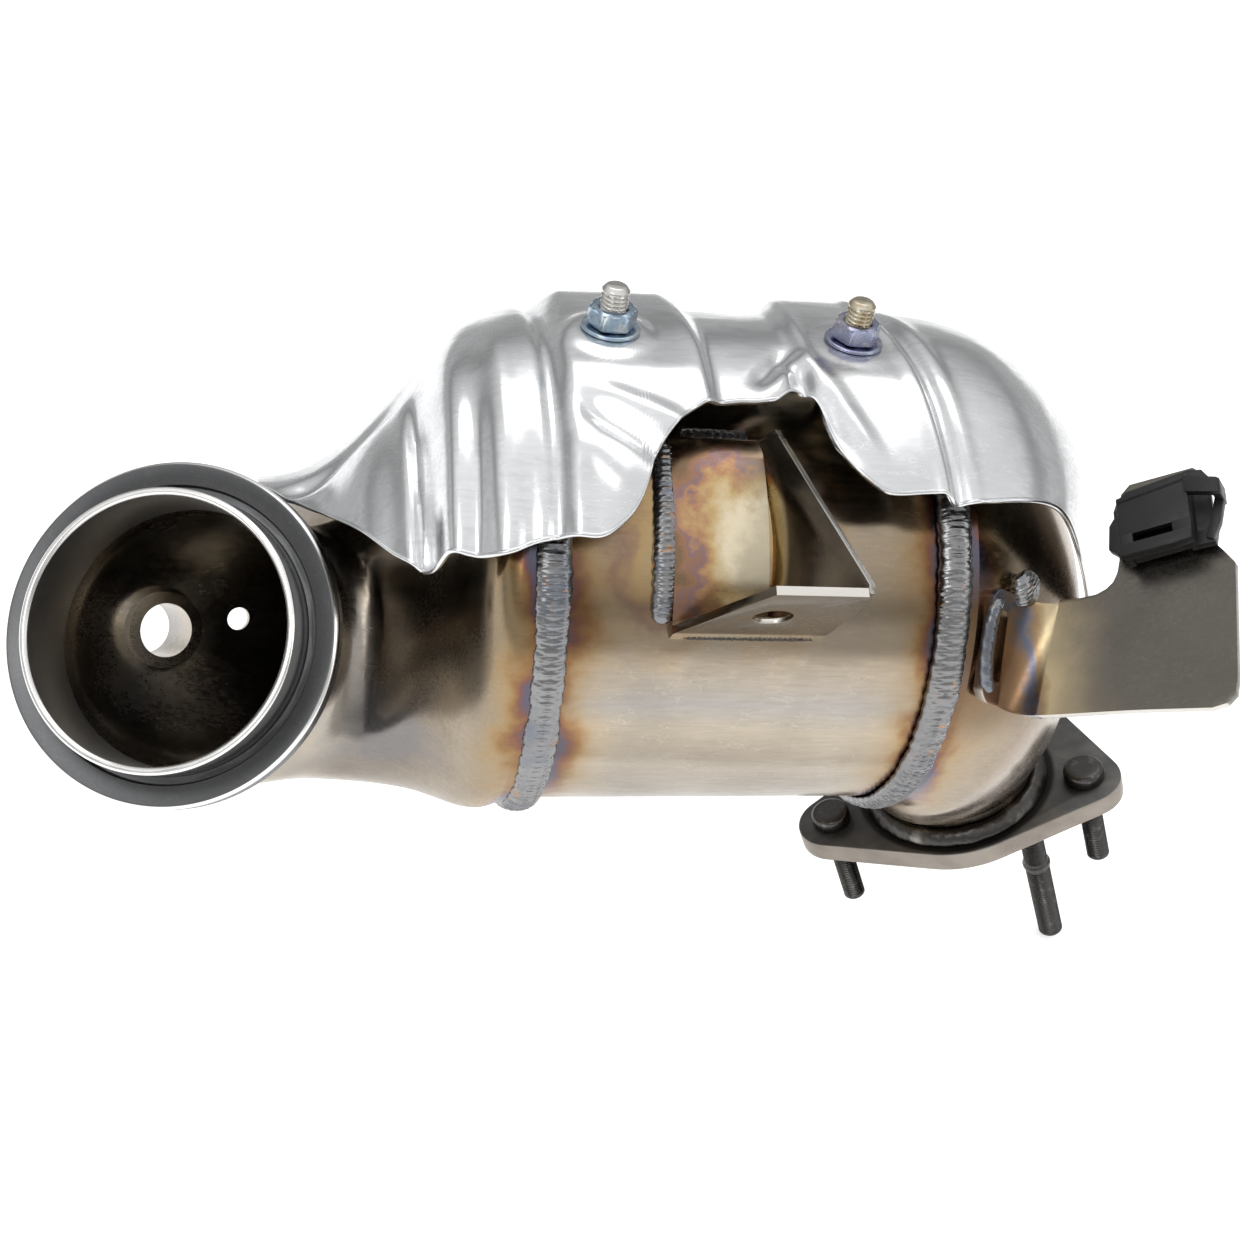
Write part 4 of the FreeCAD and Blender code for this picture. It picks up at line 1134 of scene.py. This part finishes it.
heat_shield()
girth_welds()
flange_weld()
inlet_ring_bead()
bracket_beads()
clip_beads()
flange_fasteners()
shield_fasteners()
brackets()
cable_clip()


# ---- studio -------------------------------------------------------------------------------
camera_place = Vector((27.6, -384.2, 298.7))
camera_right = Vector((0.9769, -0.1584, 0.1435))
camera_forward = Vector((0.2130, 0.7763, -0.5931))
floor_size = 12.0
floor_glow = 0.58


def camera():
    """Looks down on the inlet side from the left front."""
    made = bpy.data.objects.new("camera", bpy.data.cameras.new("camera"))
    bpy.context.scene.collection.objects.link(made)
    made.data.lens = 47.37
    made.data.sensor_width = 36.0
    right = camera_right.normalized()
    forward = (camera_forward - right * camera_forward.dot(right)).normalized()
    up = right.cross(forward)
    turn = Matrix((right, up, -forward)).transposed().to_4x4()
    made.matrix_world = Matrix.Translation(camera_place * MM) @ turn
    made.data.clip_start = 0.01
    bpy.context.scene.camera = made


def lamp(name, place, aim, width, height, power):
    made = bpy.data.objects.new(name, bpy.data.lights.new(name, "AREA"))
    bpy.context.scene.collection.objects.link(made)
    made.data.shape = "RECTANGLE"
    made.data.size = width
    made.data.size_y = height
    made.data.energy = power
    made.location = place
    made.rotation_euler = (Vector(aim) - Vector(place)).to_track_quat("-Z", "Y").to_euler()
    return made


def floor():
    """A pale floor that looks white to the eye and in reflections, and still takes the shadow."""
    start_clean()
    bpy.ops.mesh.primitive_plane_add(size=floor_size, location=(0.13, 0.03, cad_box[0][2] - 0.001))
    made = settle(bpy.context.object)
    made.name = "studio_floor"
    f = Finish("pale_floor", 0.0, 0.9)
    f.set("Base Color", (0.86, 0.86, 0.86, 1))
    path = f.tree.nodes.new("ShaderNodeLightPath")
    mirrored = f.maths("MAXIMUM", path.outputs["Is Glossy Ray"], path.outputs["Is Transmission Ray"])
    seen = f.maths("MAXIMUM", path.outputs["Is Camera Ray"], mirrored)
    f.set("Emission Color", (1, 1, 1, 1))
    f.set("Emission Strength", f.maths("MULTIPLY", seen, floor_glow))
    made.data.materials.append(f.material)


def world():
    """Soft pale surroundings, the same to the eye and in reflections: bright above, greyer low down."""
    made = bpy.data.worlds.new("studio")
    bpy.context.scene.world = made
    made.use_nodes = True
    tree = made.node_tree
    tree.nodes.clear()
    out = tree.nodes.new("ShaderNodeOutputWorld")
    back = tree.nodes.new("ShaderNodeBackground")
    coords = tree.nodes.new("ShaderNodeTexCoord")
    split = tree.nodes.new("ShaderNodeSeparateXYZ")
    both = tree.nodes.new("ShaderNodeMath")
    both.operation = "MULTIPLY"
    tree.links.new(coords.outputs["Generated"], split.inputs[0])
    heights = ((0.0, 0.42), (0.08, 0.62), (0.20, 0.72), (0.29, 0.36),
               (0.37, 0.36), (0.50, 0.72), (0.70, 0.95), (1.0, 1.0))
    depths = ((0.0, 1.0), (0.55, 0.98), (0.72, 0.80), (1.0, 0.68))
    for index, (letter, stops) in enumerate((("Z", heights), ("Y", depths))):
        band = tree.nodes.new("ShaderNodeValToRGB")
        fill_ramp(band.color_ramp, [(place, (value,) * 3) for place, value in stops])
        source = split.outputs[letter]
        if letter == "Y":
            half = tree.nodes.new("ShaderNodeMath")
            half.operation = "MULTIPLY_ADD"
            half.inputs[1].default_value = 0.5
            half.inputs[2].default_value = 0.5
            tree.links.new(source, half.inputs[0])
            source = half.outputs[0]
        tree.links.new(source, band.inputs[0])
        tree.links.new(band.outputs[0], both.inputs[index])
    tree.links.new(both.outputs[0], back.inputs[0])
    tree.links.new(back.outputs[0], out.inputs[0])


camera()
floor()
world()
lamp("key", (-0.7, -0.9, 1.3), (0.12, 0, 0), 0.8, 0.8, 4.5)
lamp("top", (0.2, 0.5, 1.4), (0.15, 0, 0), 1.2, 0.7, 3.5)
lamp("side", (1.3, -0.7, 0.6), (0.15, 0, 0), 0.4, 0.9, 1.5)
bpy.context.scene.view_settings.view_transform = "Standard"
